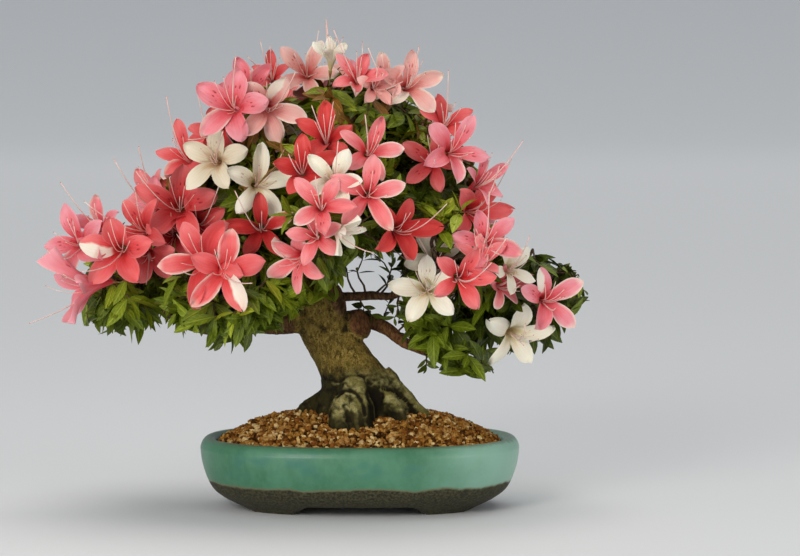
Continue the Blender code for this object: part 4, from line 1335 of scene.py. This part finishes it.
# %% Petal finish
PETAL_COLOURS = {
    # throat, body, tip and rim, the rim partly painted glow
    "white": ((210, 194, 142), (240, 235, 217), (246, 243, 229), (249, 248, 239)),
    "cream": ((200, 164, 120), (230, 220, 196), (237, 230, 211), (243, 238, 222)),
    "blush": ((222, 96, 92), (236, 166, 160), (242, 196, 190), (248, 228, 220)),
    "pink": ((222, 54, 64), (238, 116, 122), (244, 158, 162), (250, 208, 206)),
    "rose": ((222, 58, 72), (234, 116, 128), (240, 160, 172), (250, 214, 216)),
    "coral": ((208, 34, 38), (228, 82, 86), (238, 122, 124), (246, 180, 178)),
    "red": ((180, 22, 26), (208, 50, 50), (224, 86, 84), (236, 128, 122)),
}
PETAL_LETTERS = "pbrh"
BLOTCH = (160, 16, 36)
PALE = (247, 241, 228)
DEEP_SPOTS = 0.85
FAINT_SPOTS = 0.5
PETAL_CLOUD = 0.3125
CELL_MARGIN = 0.03


def petal_finish(name, throat, body, tip, rim, spotted):
    """Throat to tip along the petal, veins and a rim that is partly painted glow, blotches on one
    of the four.
    """
    f = Finish(name, 0.5, 0.3, sheen_weight=0.1, subsurface_weight=0.12, subsurface_scale=0.002)
    doubled = f.vector("MULTIPLY", f.blade(), (2, 2, 0))
    right, upper, _ = f.parts(f.vector("FLOOR", doubled))
    u, v, _ = f.parts(f.vector("FRACTION", doubled))
    edge = f.from_middle(u)
    cloud = f.noise(doubled, PETAL_CLOUD, 3.0, 0.5)
    along = f.plus(v, f.times(f.plus(cloud, -0.5), 0.6))
    along = f.plus(along, f.times(edge, 0.10))
    shade = f.layer(f.blend(along, 0.22, 0.58, throat, body), along, 0.52, 1.0, tip)
    stripe = f.math("SINE", f.times(f.plus(edge, f.times(cloud, 0.3)), 26.0))
    vein = f.times(f.spread(stripe, 0.3, 1.0), f.spread(v, 0.95, 0.35, 0.0, 0.26))
    shade = f.over(shade, vein, throat)
    # the edge and tip of every petal turn paler: partly the petal's own colour and partly a painted
    # glow of light through the thin edge
    rim_glow = f.math("MAXIMUM", f.spread(edge, 0.82, 1.0), f.spread(v, 0.94, 1.0))
    shade = f.over(shade, f.times(rim_glow, f.spread(v, 0.34, 0.60, 0, 0.5)), rim)
    margin = f.spread(f.plus(edge, f.times(cloud, 0.4)), 0.80, 1.16)
    margin = f.math("MAXIMUM", margin, f.spread(v, 0.84, 1.0))
    margin = f.times(margin, f.spread(v, 0.40, 0.60, 0, 0.8), upper, f.rest(right))
    half = f.spread(f.plus(u, f.times(cloud, 0.35)), 0.55, 0.72)
    half = f.times(half, f.spread(v, 0.30, 0.44), upper, right)
    shade = f.over(f.over(shade, margin, PALE), half, PALE)
    spots = f.node("ShaderNodeTexVoronoi", {"Vector": doubled, "Scale": 8.0, "Randomness": 0.9})
    dot = f.spread(spots.outputs["Distance"], 0.36, 0.24)
    field = f.times(f.spread(edge, 0.70, 0.45), f.spread(v, 0.32, 0.38), f.spread(v, 0.76, 0.64))
    f.colour(f.over(shade, f.times(dot, field, right, f.rest(upper), spotted), BLOTCH))
    f.bump(f.plus(stripe, cloud), 0.15, 0.25)
    return f.material


def petal_map(kinds):
    """Each point's place in the map: in its petal's quarter, columns across and rows along."""
    u, v = np.meshgrid((PETAL_COLUMNS + 1) / 2, PETAL_ROWS)
    local = np.stack([u, v], -1) * (1 - 2 * CELL_MARGIN) + CELL_MARGIN
    corner = np.stack([kinds % 2, kinds // 2], -1)[:, None, None]
    return ((local[None] + corner) / 2).reshape(-1, 2)


base_places = places - axes * bloom_sizes[:, None] * TUBE_DEPTH
bloom_rng = np.random.default_rng(41)
petals = petal_surface(base_places, axes, rolls, bloom_sizes, openings, bloom_rng)
kinds = np.array([[PETAL_LETTERS.index(letter) for letter in pattern] for pattern in patterns])
petal_points = len(PETAL_ROWS) * len(PETAL_COLUMNS)
petal_grid = grid_faces(len(PETAL_ROWS), len(PETAL_COLUMNS), False)[:, ::-1]
for colour, shades in PETAL_COLOURS.items():
    own = colours == colour
    spotted = FAINT_SPOTS if colour in ("white", "cream") else DEEP_SPOTS
    finish = petal_finish(f"petal_{colour}", *shades, spotted)
    faces = repeated([petal_grid], own.sum() * PETALS, petal_points)
    piece(f"petals_{colour}", petals[own].reshape(-1, 3), faces, finish, "foliage", MASSES,
          blade=petal_map(kinds[own].ravel()))

# %% [markdown]
# ## Stamens, pistil and stalk
# Five stamens and one longer pistil come up out of each funnel and curve towards the light, each
# with a small dark tip. They are three-sided sweeps: thin enough that the eye takes them as
# round.

# %% Stamens
FILAMENTS = 6
FILAMENT_STEPS = 11
STAMEN_LENGTHS = (1.15, 1.50)
PISTIL_LENGTHS = (1.90, 2.45)
STAMEN_SPREADS = (0.10, 0.34)
PISTIL_SPREADS = (0.24, 0.46)
RISES = (0.06, 0.34)
SAGS = (0.02, 0.09)
THREAD = (0.38, 0.26)
PISTIL_STOUTER = 1.5
ANTHER = 0.42


def filament_lines(base, axis, roll, size, rng):
    """Lines along the axis, spread by a power of the share, sagged and bent upwards."""
    count = len(base)
    each = (count, FILAMENTS, 1, 1)
    top, side = blossom_frames(axis, roll)
    angle = rng.uniform(0, 2 * np.pi, (count, 1)) + circle(FILAMENTS)
    away = around(angle, top[:, None], side[:, None])
    share = np.linspace(0.08, 1, FILAMENT_STEPS)[None, None, :, None]
    length = size[:, None] * rng.uniform(*STAMEN_LENGTHS, (count, FILAMENTS))
    length[:, 0] = size * rng.uniform(*PISTIL_LENGTHS, count)
    length = length[..., None, None]
    spread = rng.uniform(*STAMEN_SPREADS, each)
    spread[:, 0] = rng.uniform(*PISTIL_SPREADS, (count, 1, 1))
    rise = rng.uniform(*RISES, each)
    lines = base[:, None, None] + axis[:, None, None] * share * length
    lines = lines + away[:, :, None] * share**1.8 * length * spread
    sag = rng.uniform(*SAGS, each) * np.sin(np.pi * share)
    lines = lines + np.array([0, 0, 1.0]) * (share**2.6 * rise - sag) * length
    return lines.reshape(-1, FILAMENT_STEPS, 3)


def plain_piece(name, shape, pale, dark, cell, roughness, slot="foliage"):
    """A piece of the crown in two colours that lie in soft patches."""
    f = Finish(name, roughness)
    f.colour(f.blend(f.noise(f.place(), cell, 3), 0.35, 0.65, pale, dark))
    piece(name, *shape, f.material, slot, MASSES)


lines = held_in(filament_lines(base_places, axes, rolls, bloom_sizes, bloom_rng))
thin = np.tile(np.linspace(*THREAD, FILAMENT_STEPS), (len(lines), 1))
thin[::FILAMENTS] *= PISTIL_STOUTER
threads = sweep(lines, thin, 3)
plain_piece("stamen_threads", threads, (250, 228, 220), (244, 196, 190), 14.0, 0.5)
tips = lumps(np.random.default_rng(43), lines[:, -1], np.full(len(lines), ANTHER))
plain_piece("anthers", tips, (220, 170, 140), (184, 124, 104), 2.0, 0.7)

# %% [markdown]
# ## Twigs
# Now that every blossom has its place, the wood can reach it. In each mass the tips of the
# foliage and the feet of the blossoms hang on the nearest hub. A stalk that swells at its top
# joins each blossom to its foot.

# %% Wood of the crown
STALK = 11.0
STALK_RADII = (0.55, 0.5, 0.5, 0.52, 0.6, 1.1, 1.5)
STALK_SAG = 1.6
HUB_CLEAR = 3
TIP_CLEAR = 9
TIP_OUTSIDE = 0.62
STEM_BEND = 0.04
# radius at the root and at the tip, and sides
STEM = (2.6, 1.9, 8)
MAIN = (1.6, 0.95, 6)
FINE = (0.85, 0.42, 5)


def clear_of_blossoms(points):
    """False inside the bowl of any blossom: past its throat and nearer its axis than its petals."""
    off = points[:, None] - base_places[None]
    height = np.einsum("pbi,bi->pb", off, axes) / bloom_sizes
    away = np.sqrt(np.maximum((off**2).sum(-1) / bloom_sizes**2 - height**2, 0))
    bowl = 0.18 + 0.85 * ease((height - 0.05) / 0.65)
    return ~((height > 0.10) & (height < 1.8) & (away < bowl)).any(axis=1)


def grow(number, bough, feet):
    """One mass: its stem, the twigs to its hubs, and thin twigs to its tips and blossom feet."""
    rng = np.random.default_rng(100 + number)
    centre, half = CENTRES[number], HALVES[number]
    tip = np.array(BOUGHS[bough][0][-1], float)
    heart = tip + (centre - tip) * HEART_SHARE
    hubs = centre + golden_directions(HUBS, rng) * half * HUB_REACH
    hubs = hubs[open_place(hubs, HUB_CLEAR)]
    outer = golden_directions(OUTER_TIPS, rng)
    inner = golden_directions(INNER_TIPS, rng)
    tips = np.concatenate([
        centre + outer * half * rng.uniform(*OUTER_REACH, (OUTER_TIPS, 1)),
        centre + inner * half * rng.uniform(*INNER_REACH, (INNER_TIPS, 1)),
    ])
    others = np.delete(levels(tips), number, axis=0).min(axis=0)
    tips = tips[open_place(tips, TIP_CLEAR) & (others > TIP_OUTSIDE) & within_outline(tips)]
    stems = twig_lines(tip[None], heart[None], rng, bend=STEM_BEND)
    mains = twig_lines(np.repeat(heart[None], len(hubs), 0), hubs, rng)
    leafy = twig_lines(hubs[nearest(tips, hubs)], tips, rng)
    clear = clear_of_blossoms(leafy[:, 2:].reshape(-1, 3)).reshape(len(leafy), -1).all(axis=1)
    stalked = twig_lines(hubs[nearest(feet, hubs)], feet, rng)
    return stems, mains, np.concatenate([leafy[clear], stalked])


foot_places = base_places - axes * STALK
foot_mass = np.argmin(levels(foot_places), axis=0)
wood, spray_places, spray_axes, spray_mass = [], [], [], []
for number, bough in enumerate(MASSES.values()):
    stems, mains, fines = grow(number, bough, foot_places[foot_mass == number])
    wood += [tapered(stems, *STEM), tapered(mains, *MAIN), tapered(fines, *FINE)]
    spray_places += [fines[:, -1], fines[:, 3]]
    spray_axes += [unit(fines[:, -1] - fines[:, -2]), unit(fines[:, 4] - fines[:, 3])]
    spray_mass += [np.full(len(fines) * 2, number)]

# %% [markdown]
# ## Twigs in the sky gap
# To the right of the trunk the crown is open and the sky shows through a few fine dark twigs,
# with small leaves on them. They leave the right middle bough and the low right bough.

# %% Window twigs
WINDOW_TWIGS = (
    # foot and tip of each twig: across, back, up
    ((-2, 0, 146), (-12, -4, 168)), ((4, -2, 147), (2, -8, 172)), ((10, -4, 147), (22, -2, 166)),
    ((14, -5, 147), (10, 6, 174)), ((22, -6, 148), (34, -12, 168)), ((26, -8, 149), (24, -16, 132)),
    ((0, -1, 146), (8, 4, 132)), ((18, 13, 124), (20, 8, 140)), ((26, 11, 118), (36, 4, 134)),
    ((36, 7, 111), (44, 0, 124)), ((42, 5, 110), (46, -4, 98)), ((48, 3, 108), (58, -6, 98)),
    ((40, 6, 111), (36, 16, 122)), ((54, 1, 106), (66, 6, 96)),
)
COVER_TWIGS = (
    # twigs with full whorls round the low right bough and the trunk: a foot, then their tips
    ((40, 6, 110), (41, -16, 118), (44, -24, 132)),
    ((46, 4, 108), (50, -30, 124), (52, -10, 144), (48, 14, 124)),
    ((56, 1, 106), (57, -26, 110), (60, 12, 102), (60, -34, 128)),
    ((68, -1, 110), (68, -20, 99), (74, -36, 108), (80, -16, 95), (84, 12, 99)),
    ((36, 7, 111), (38, 4, 130), (34, -12, 124)),
    ((40, 6, 110), (36, -10, 138)),
    ((74, -2, 112), (88, -30, 100), (92, -6, 93)),
    ((-31, 0, 165), (-30, -26, 150), (-16, -24, 156), (-44, -28, 140)),
    ((-50, -20, 146), (-52, -34, 128), (-62, -24, 124)),
)
WINDOW_BEND = 0.12
window_rng = np.random.default_rng(61)
window = np.array(WINDOW_TWIGS, float)
cover = np.array([(foot, tip) for foot, *tips in COVER_TWIGS for tip in tips], float)
window_lines = twig_lines(window[:, 0], window[:, 1], window_rng, bend=WINDOW_BEND)
cover_lines = twig_lines(cover[:, 0], cover[:, 1], window_rng, bend=WINDOW_BEND)
wood += [tapered(window_lines, 0.9, 0.40, 5), tapered(cover_lines, 1.0, 0.45, 5)]
spray_places += [cover_lines[:, -1], cover_lines[:, 4]]
spray_axes += [unit(cover_lines[:, -1] - cover_lines[:, -2])] * 2
spray_mass += [np.argmin(levels(cover_lines[:, -1]), axis=0)] * 2
plain_piece("twigs", joined(wood), (96, 72, 48), (58, 42, 28), 3.0, 0.85, "bark")

bend = np.linspace(0, 1, len(STALK_RADII))[None, :, None]
stalk_lines = foot_places[:, None] * (1 - bend) + base_places[:, None] * bend
stalk_lines = stalk_lines + np.sin(np.pi * bend) * np.array([0, 0, -STALK_SAG])
stalks = sweep(stalk_lines, np.tile(STALK_RADII, (len(foot_places), 1)), 6)
plain_piece("blossom_stalks", stalks, (132, 134, 62), (150, 92, 58), 5.0, 0.6)

# %% [markdown]
# ## Leaves
# Azalea leaves sit in whorls at the ends of the twigs, pointed ovals about two centimetres long,
# folded a little along the midrib and drooping towards the tip. Each is a blade of three columns
# and seven rows. A leaf that would stand inside a blossom is left out.

# %% Leaf shape
LEAF_ROWS = np.array([0.0, 0.12, 0.30, 0.50, 0.70, 0.87, 1.0])
LEAF_COLUMNS = np.array([-1.0, 0.0, 1.0])
LEAF_WIDTHS = np.array([0.06, 0.42, 0.82, 1.0, 0.84, 0.46, 0.03])
LEAVES_PER_SPRAY = 6
LEAF_LENGTH = 24.0
LEAF_WIDTH_SHARE = 0.35
LEAF_FOLD = 0.30
WINDOW_LEAVES = 3
WINDOW_LENGTH = 12.0
OUTER_TILT = 80
TILT_FALL = 44
LEAF_GAP = 0.7
LEAF_STRAY = 0.18
LEAF_DROOPS = (0.05, 0.60)


def leaf_surface(base, along, face, length, droop):
    """Three columns and seven rows: an arc along the leaf, lifted edges across it."""
    v = LEAF_ROWS[None, :, None]
    u = LEAF_COLUMNS[None, None, :]
    long = length[:, None, None]
    bend = droop[:, None, None]
    forward = long * np.sin(bend * v) / bend
    down = long * (1 - np.cos(bend * v)) / bend
    half = long * LEAF_WIDTH_SHARE / 2 * LEAF_WIDTHS[None, :, None]
    side = np.cross(along, face)
    sideways = half * u * math.cos(LEAF_FOLD)
    lift = half * np.abs(u) * math.sin(LEAF_FOLD) - down
    points = base[:, None, None] + (forward + 0 * u)[..., None] * along[:, None, None]
    points = points + sideways[..., None] * side[:, None, None]
    return points + lift[..., None] * face[:, None, None]


def whorls(places, axes, rng, count, size):
    """Leaves round each twig's end: turned by the golden angle, the outer ones wider spread."""
    total = len(places)
    order = np.arange(count)
    turn = rng.uniform(0, 2 * np.pi, (total, 1)) + order * GOLDEN_ANGLE
    tilt = np.radians(OUTER_TILT - TILT_FALL * order / (count - 1))
    tilt = tilt + rng.normal(0, LEAF_STRAY, (total, count))
    first = unit(np.cross(axes, np.array([0.31, 0.17, 0.93])))
    second = np.cross(axes, first)
    radial = around(turn, first[:, None], second[:, None])
    along = unit(around(tilt, axes[:, None], radial) + np.array([0, 0, -0.10]))
    face = 0.7 * axes[:, None] + np.array([0, 0, 0.45]) + 0 * along
    face = unit(face - (face * along).sum(-1, keepdims=True) * along)
    base = places[:, None] - (order[::-1] * LEAF_GAP)[None, :, None] * axes[:, None]
    length = size * (1.12 - 0.45 * order / (count - 1)) * rng.uniform(0.80, 1.16, (total, count))
    droop = rng.uniform(*LEAF_DROOPS, (total, count))
    flat = (part.reshape(-1, 3) for part in (base, along, face))
    return *flat, length.ravel(), droop.ravel()


# %% Leaf finish
# the first four tints are lit and shaded copies of one green, painted light and shade that follow
# where each whorl stands; bronze is the young leaves' own colour
LEAF_TONES = {
    # blade, deeper blade and midrib
    "leaves_in_deep_shade": ((80, 96, 14), (56, 72, 8), (116, 128, 42)),
    "leaves_in_half_shade": ((110, 126, 20), (82, 102, 12), (144, 158, 52)),
    "leaves_in_light": ((134, 150, 26), (104, 124, 16), (170, 180, 66)),
    "leaves_in_full_light": ((160, 172, 38), (130, 148, 24), (192, 198, 84)),
    "leaves_bronze": ((144, 96, 38), (108, 88, 24), (180, 122, 62)),
}
BRONZE_SHARE = 0.25
BRONZE_ABOVE = 225


def leaf_finish(name, blade, deep, rib):
    """A midrib and side veins from the leaf's own map, with clouds of deeper green."""
    f = Finish(name, 0.48, 0.35)
    where = f.blade()
    u, v, _ = f.parts(where)
    edge = f.from_middle(u)
    shade = f.blend(f.noise(where, 0.25, 3.0, 0.5), 0.35, 0.65, blade, deep)
    wave = f.math("SINE", f.times(f.plus(v, f.times(edge, -0.22)), 44.0))
    shade = f.layer(shade, wave, 0.6, 1.0, rib, 0.25)
    f.colour(f.layer(shade, edge, 0.14, 0.04, rib, 0.8))
    f.bump(f.times(wave, -0.5), 0.3, 0.3)
    return f.material


SIDE_LIGHT = 0.0022
UNDER_FLAT = 0.45
UNDER_RISE = 0.3
SPRAY_CLEAR = 6
LEAF_CLEAR = 2
LEAF_PROUD = 4
TINT_SHARES = (0.20, 0.52, 0.82)


def sprays():
    """Where every whorl stands, which way it faces and which of the tints it takes.

    The tints follow the light: there is more for a whorl that faces up, lies near the skin, stands
    high or to the left, and rolling noise and chance add to it. Quantiles part it into tints.
    """
    rng = np.random.default_rng(51)
    places, axis = np.concatenate(spray_places), np.concatenate(spray_axes)
    mass = np.concatenate(spray_mass)
    outward = unit((places - CENTRES[mass]) / HALVES[mass] ** 2)
    aim = 0.6 * axis + 0.6 * outward
    aim[:, 2] = np.where(aim[:, 2] < 0, UNDER_FLAT * aim[:, 2], aim[:, 2] + UNDER_RISE)
    axis = unit(aim + np.array([0, 0, UNDER_RISE]) / 2 + rng.normal(0, LEAF_STRAY, axis.shape))
    keep = open_place(places, SPRAY_CLEAR)
    places, axis, outward = places[keep], axis[keep], outward[keep]
    light = 0.45 * outward[:, 2] + 0.55 * (levels(places).min(axis=0) - 0.7)
    light = light + 0.35 * (places[:, 2] - 190) / 200 + 0.30 * rolling_noise(places, 26.0)
    light = light + rng.normal(0, 0.20, len(light)) - SIDE_LIGHT * places[:, 0]
    tint = np.digitize(light, np.quantile(light, TINT_SHARES))
    young = (places[:, 2] > BRONZE_ABOVE) & (rng.random(len(places)) < BRONZE_SHARE)
    return places, axis, np.where(young, 4, tint), rng


spray_at, spray_aim, tint, spray_rng = sprays()
window_at = np.concatenate([window_lines[:, -1], window_lines[:, 3]])
window_aim = unit(np.concatenate([window[:, 1] - window[:, 0]] * 2) + np.array([0, 0, 0.3]))
leaf_points = len(LEAF_ROWS) * len(LEAF_COLUMNS)
leaf_grid = grid_faces(len(LEAF_ROWS), len(LEAF_COLUMNS), False)
leaf_u, leaf_v = np.meshgrid((LEAF_COLUMNS + 1) / 2, LEAF_ROWS)
leaf_map = np.stack([leaf_u, leaf_v], -1).reshape(-1, 2) * 0.96 + 0.02
for number, (name, shades) in enumerate(LEAF_TONES.items()):
    own = tint == number
    leaves = whorls(spray_at[own], spray_aim[own], spray_rng, LEAVES_PER_SPRAY, LEAF_LENGTH)
    base, along, _, length, _ = leaves
    tip = base + along * length[:, None] * 0.9
    ok = open_place(tip, LEAF_CLEAR) & within_outline(tip)
    ok &= clear_of_blossoms(tip) & clear_of_blossoms((tip + base) / 2)
    ok &= (tip > ROOM_LOW + PROUD - LEAF_PROUD).all(axis=1)
    ok &= (tip < ROOM_HIGH - PROUD + LEAF_PROUD).all(axis=1)
    leaves = [part[ok] for part in leaves]
    if name == "leaves_in_deep_shade":
        small = whorls(window_at, window_aim, spray_rng, WINDOW_LEAVES, WINDOW_LENGTH)
        leaves = [np.concatenate(pair) for pair in zip(leaves, small)]
    points = leaf_surface(*leaves)
    faces = repeated([leaf_grid], len(points), leaf_points)
    piece(name, points.reshape(-1, 3), faces, leaf_finish(name, *shades), "foliage", MASSES,
          blade=np.tile(leaf_map, (len(points), 1)))

# %% [markdown]
# ## Floor and light
# A plain pale floor that sweeps up far behind, and soft studio light. A broad key lamp stands at
# the upper left in front, a weaker one at the right opens the shadows, and a low one lights the
# crown from below. A wide sun overhead and a pale surround serve every side alike.

# %% Floor
FLOOR_NEAR = -9.0
FLOOR_BACK = 7.0
FLOOR_TURN = 3.0
FLOOR_WIDE = 9.0

turn = np.linspace(0, math.pi / 2, 24)
run = [FLOOR_NEAR, *(FLOOR_BACK + FLOOR_TURN * np.sin(turn)), FLOOR_BACK + FLOOR_TURN]
rise = [0.0, *(FLOOR_TURN * (1 - np.cos(turn))), 2 * FLOOR_TURN]
edge = [(x, y, z) for y, z in zip(run, rise) for x in (-FLOOR_WIDE, FLOOR_WIDE)]
floor_finish = Finish("pale_floor", 0.8)
floor_finish.shader.inputs["Base Color"].default_value = tone(236, 240, 246)
floor = rough_solid("floor", np.array(edge), [grid_faces(len(run), 2, False)])
floor.data.polygons.foreach_set("use_smooth", np.full(len(floor.data.polygons), True))
floor.data.materials.append(floor_finish.material)

# %% Light
LAMP_COLOUR = (1.0, 0.94, 0.84)
LAMP_SPREAD = math.radians(80)
LAMP_TARGET = np.array([0.0, 0.0, 0.16])
SUN_WIDTH = math.radians(50)
SURROUND_STRENGTH = 0.42
LAMPS = (
    # name, place in metres, watts and side in metres
    ("key", (-0.85, -1.95, 0.95), 4.0, 0.9),
    ("fill", (1.6, -1.4, 0.40), 2.6, 1.2),
    ("low", (-1.3, -1.9, 0.40), 1.7, 0.8),
)
for name, place, watts, size in LAMPS:
    # each looks at the tree through a grid, which keeps its light off the floor
    lamp = bpy.data.lights.new(name, "AREA")
    lamp.energy, lamp.size, lamp.spread, lamp.color = watts, size, LAMP_SPREAD, LAMP_COLOUR
    hung = shown(name, lamp)
    hung.location = place
    x, y, z = LAMP_TARGET - place
    hung.rotation_euler = (math.atan2(math.hypot(x, y), -z), 0.0, math.atan2(y, x) - math.pi / 2)

above = bpy.data.lights.new("above", "SUN")
above.energy, above.angle, above.color = 1.0, SUN_WIDTH, LAMP_COLOUR
shown("above", above).rotation_euler = (math.radians(-12), math.radians(6), 0.0)
surround = bpy.data.worlds.new("pale_surround")
surround.use_nodes = True
background = surround.node_tree.nodes["Background"]
background.inputs["Color"].default_value = tone(214, 218, 222)
background.inputs["Strength"].default_value = SURROUND_STRENGTH
bpy.context.scene.world = surround

# %% [markdown]
# ## Sizes, and the end
# The dressed tree has to stay within the solids' box, give or take what petals and stamens may
# stand proud. The solids' box is printed.

# %% Measure and finish
print("solids", [round(v, 4) for v in (*CAD_LOW, *CAD_HIGH)])
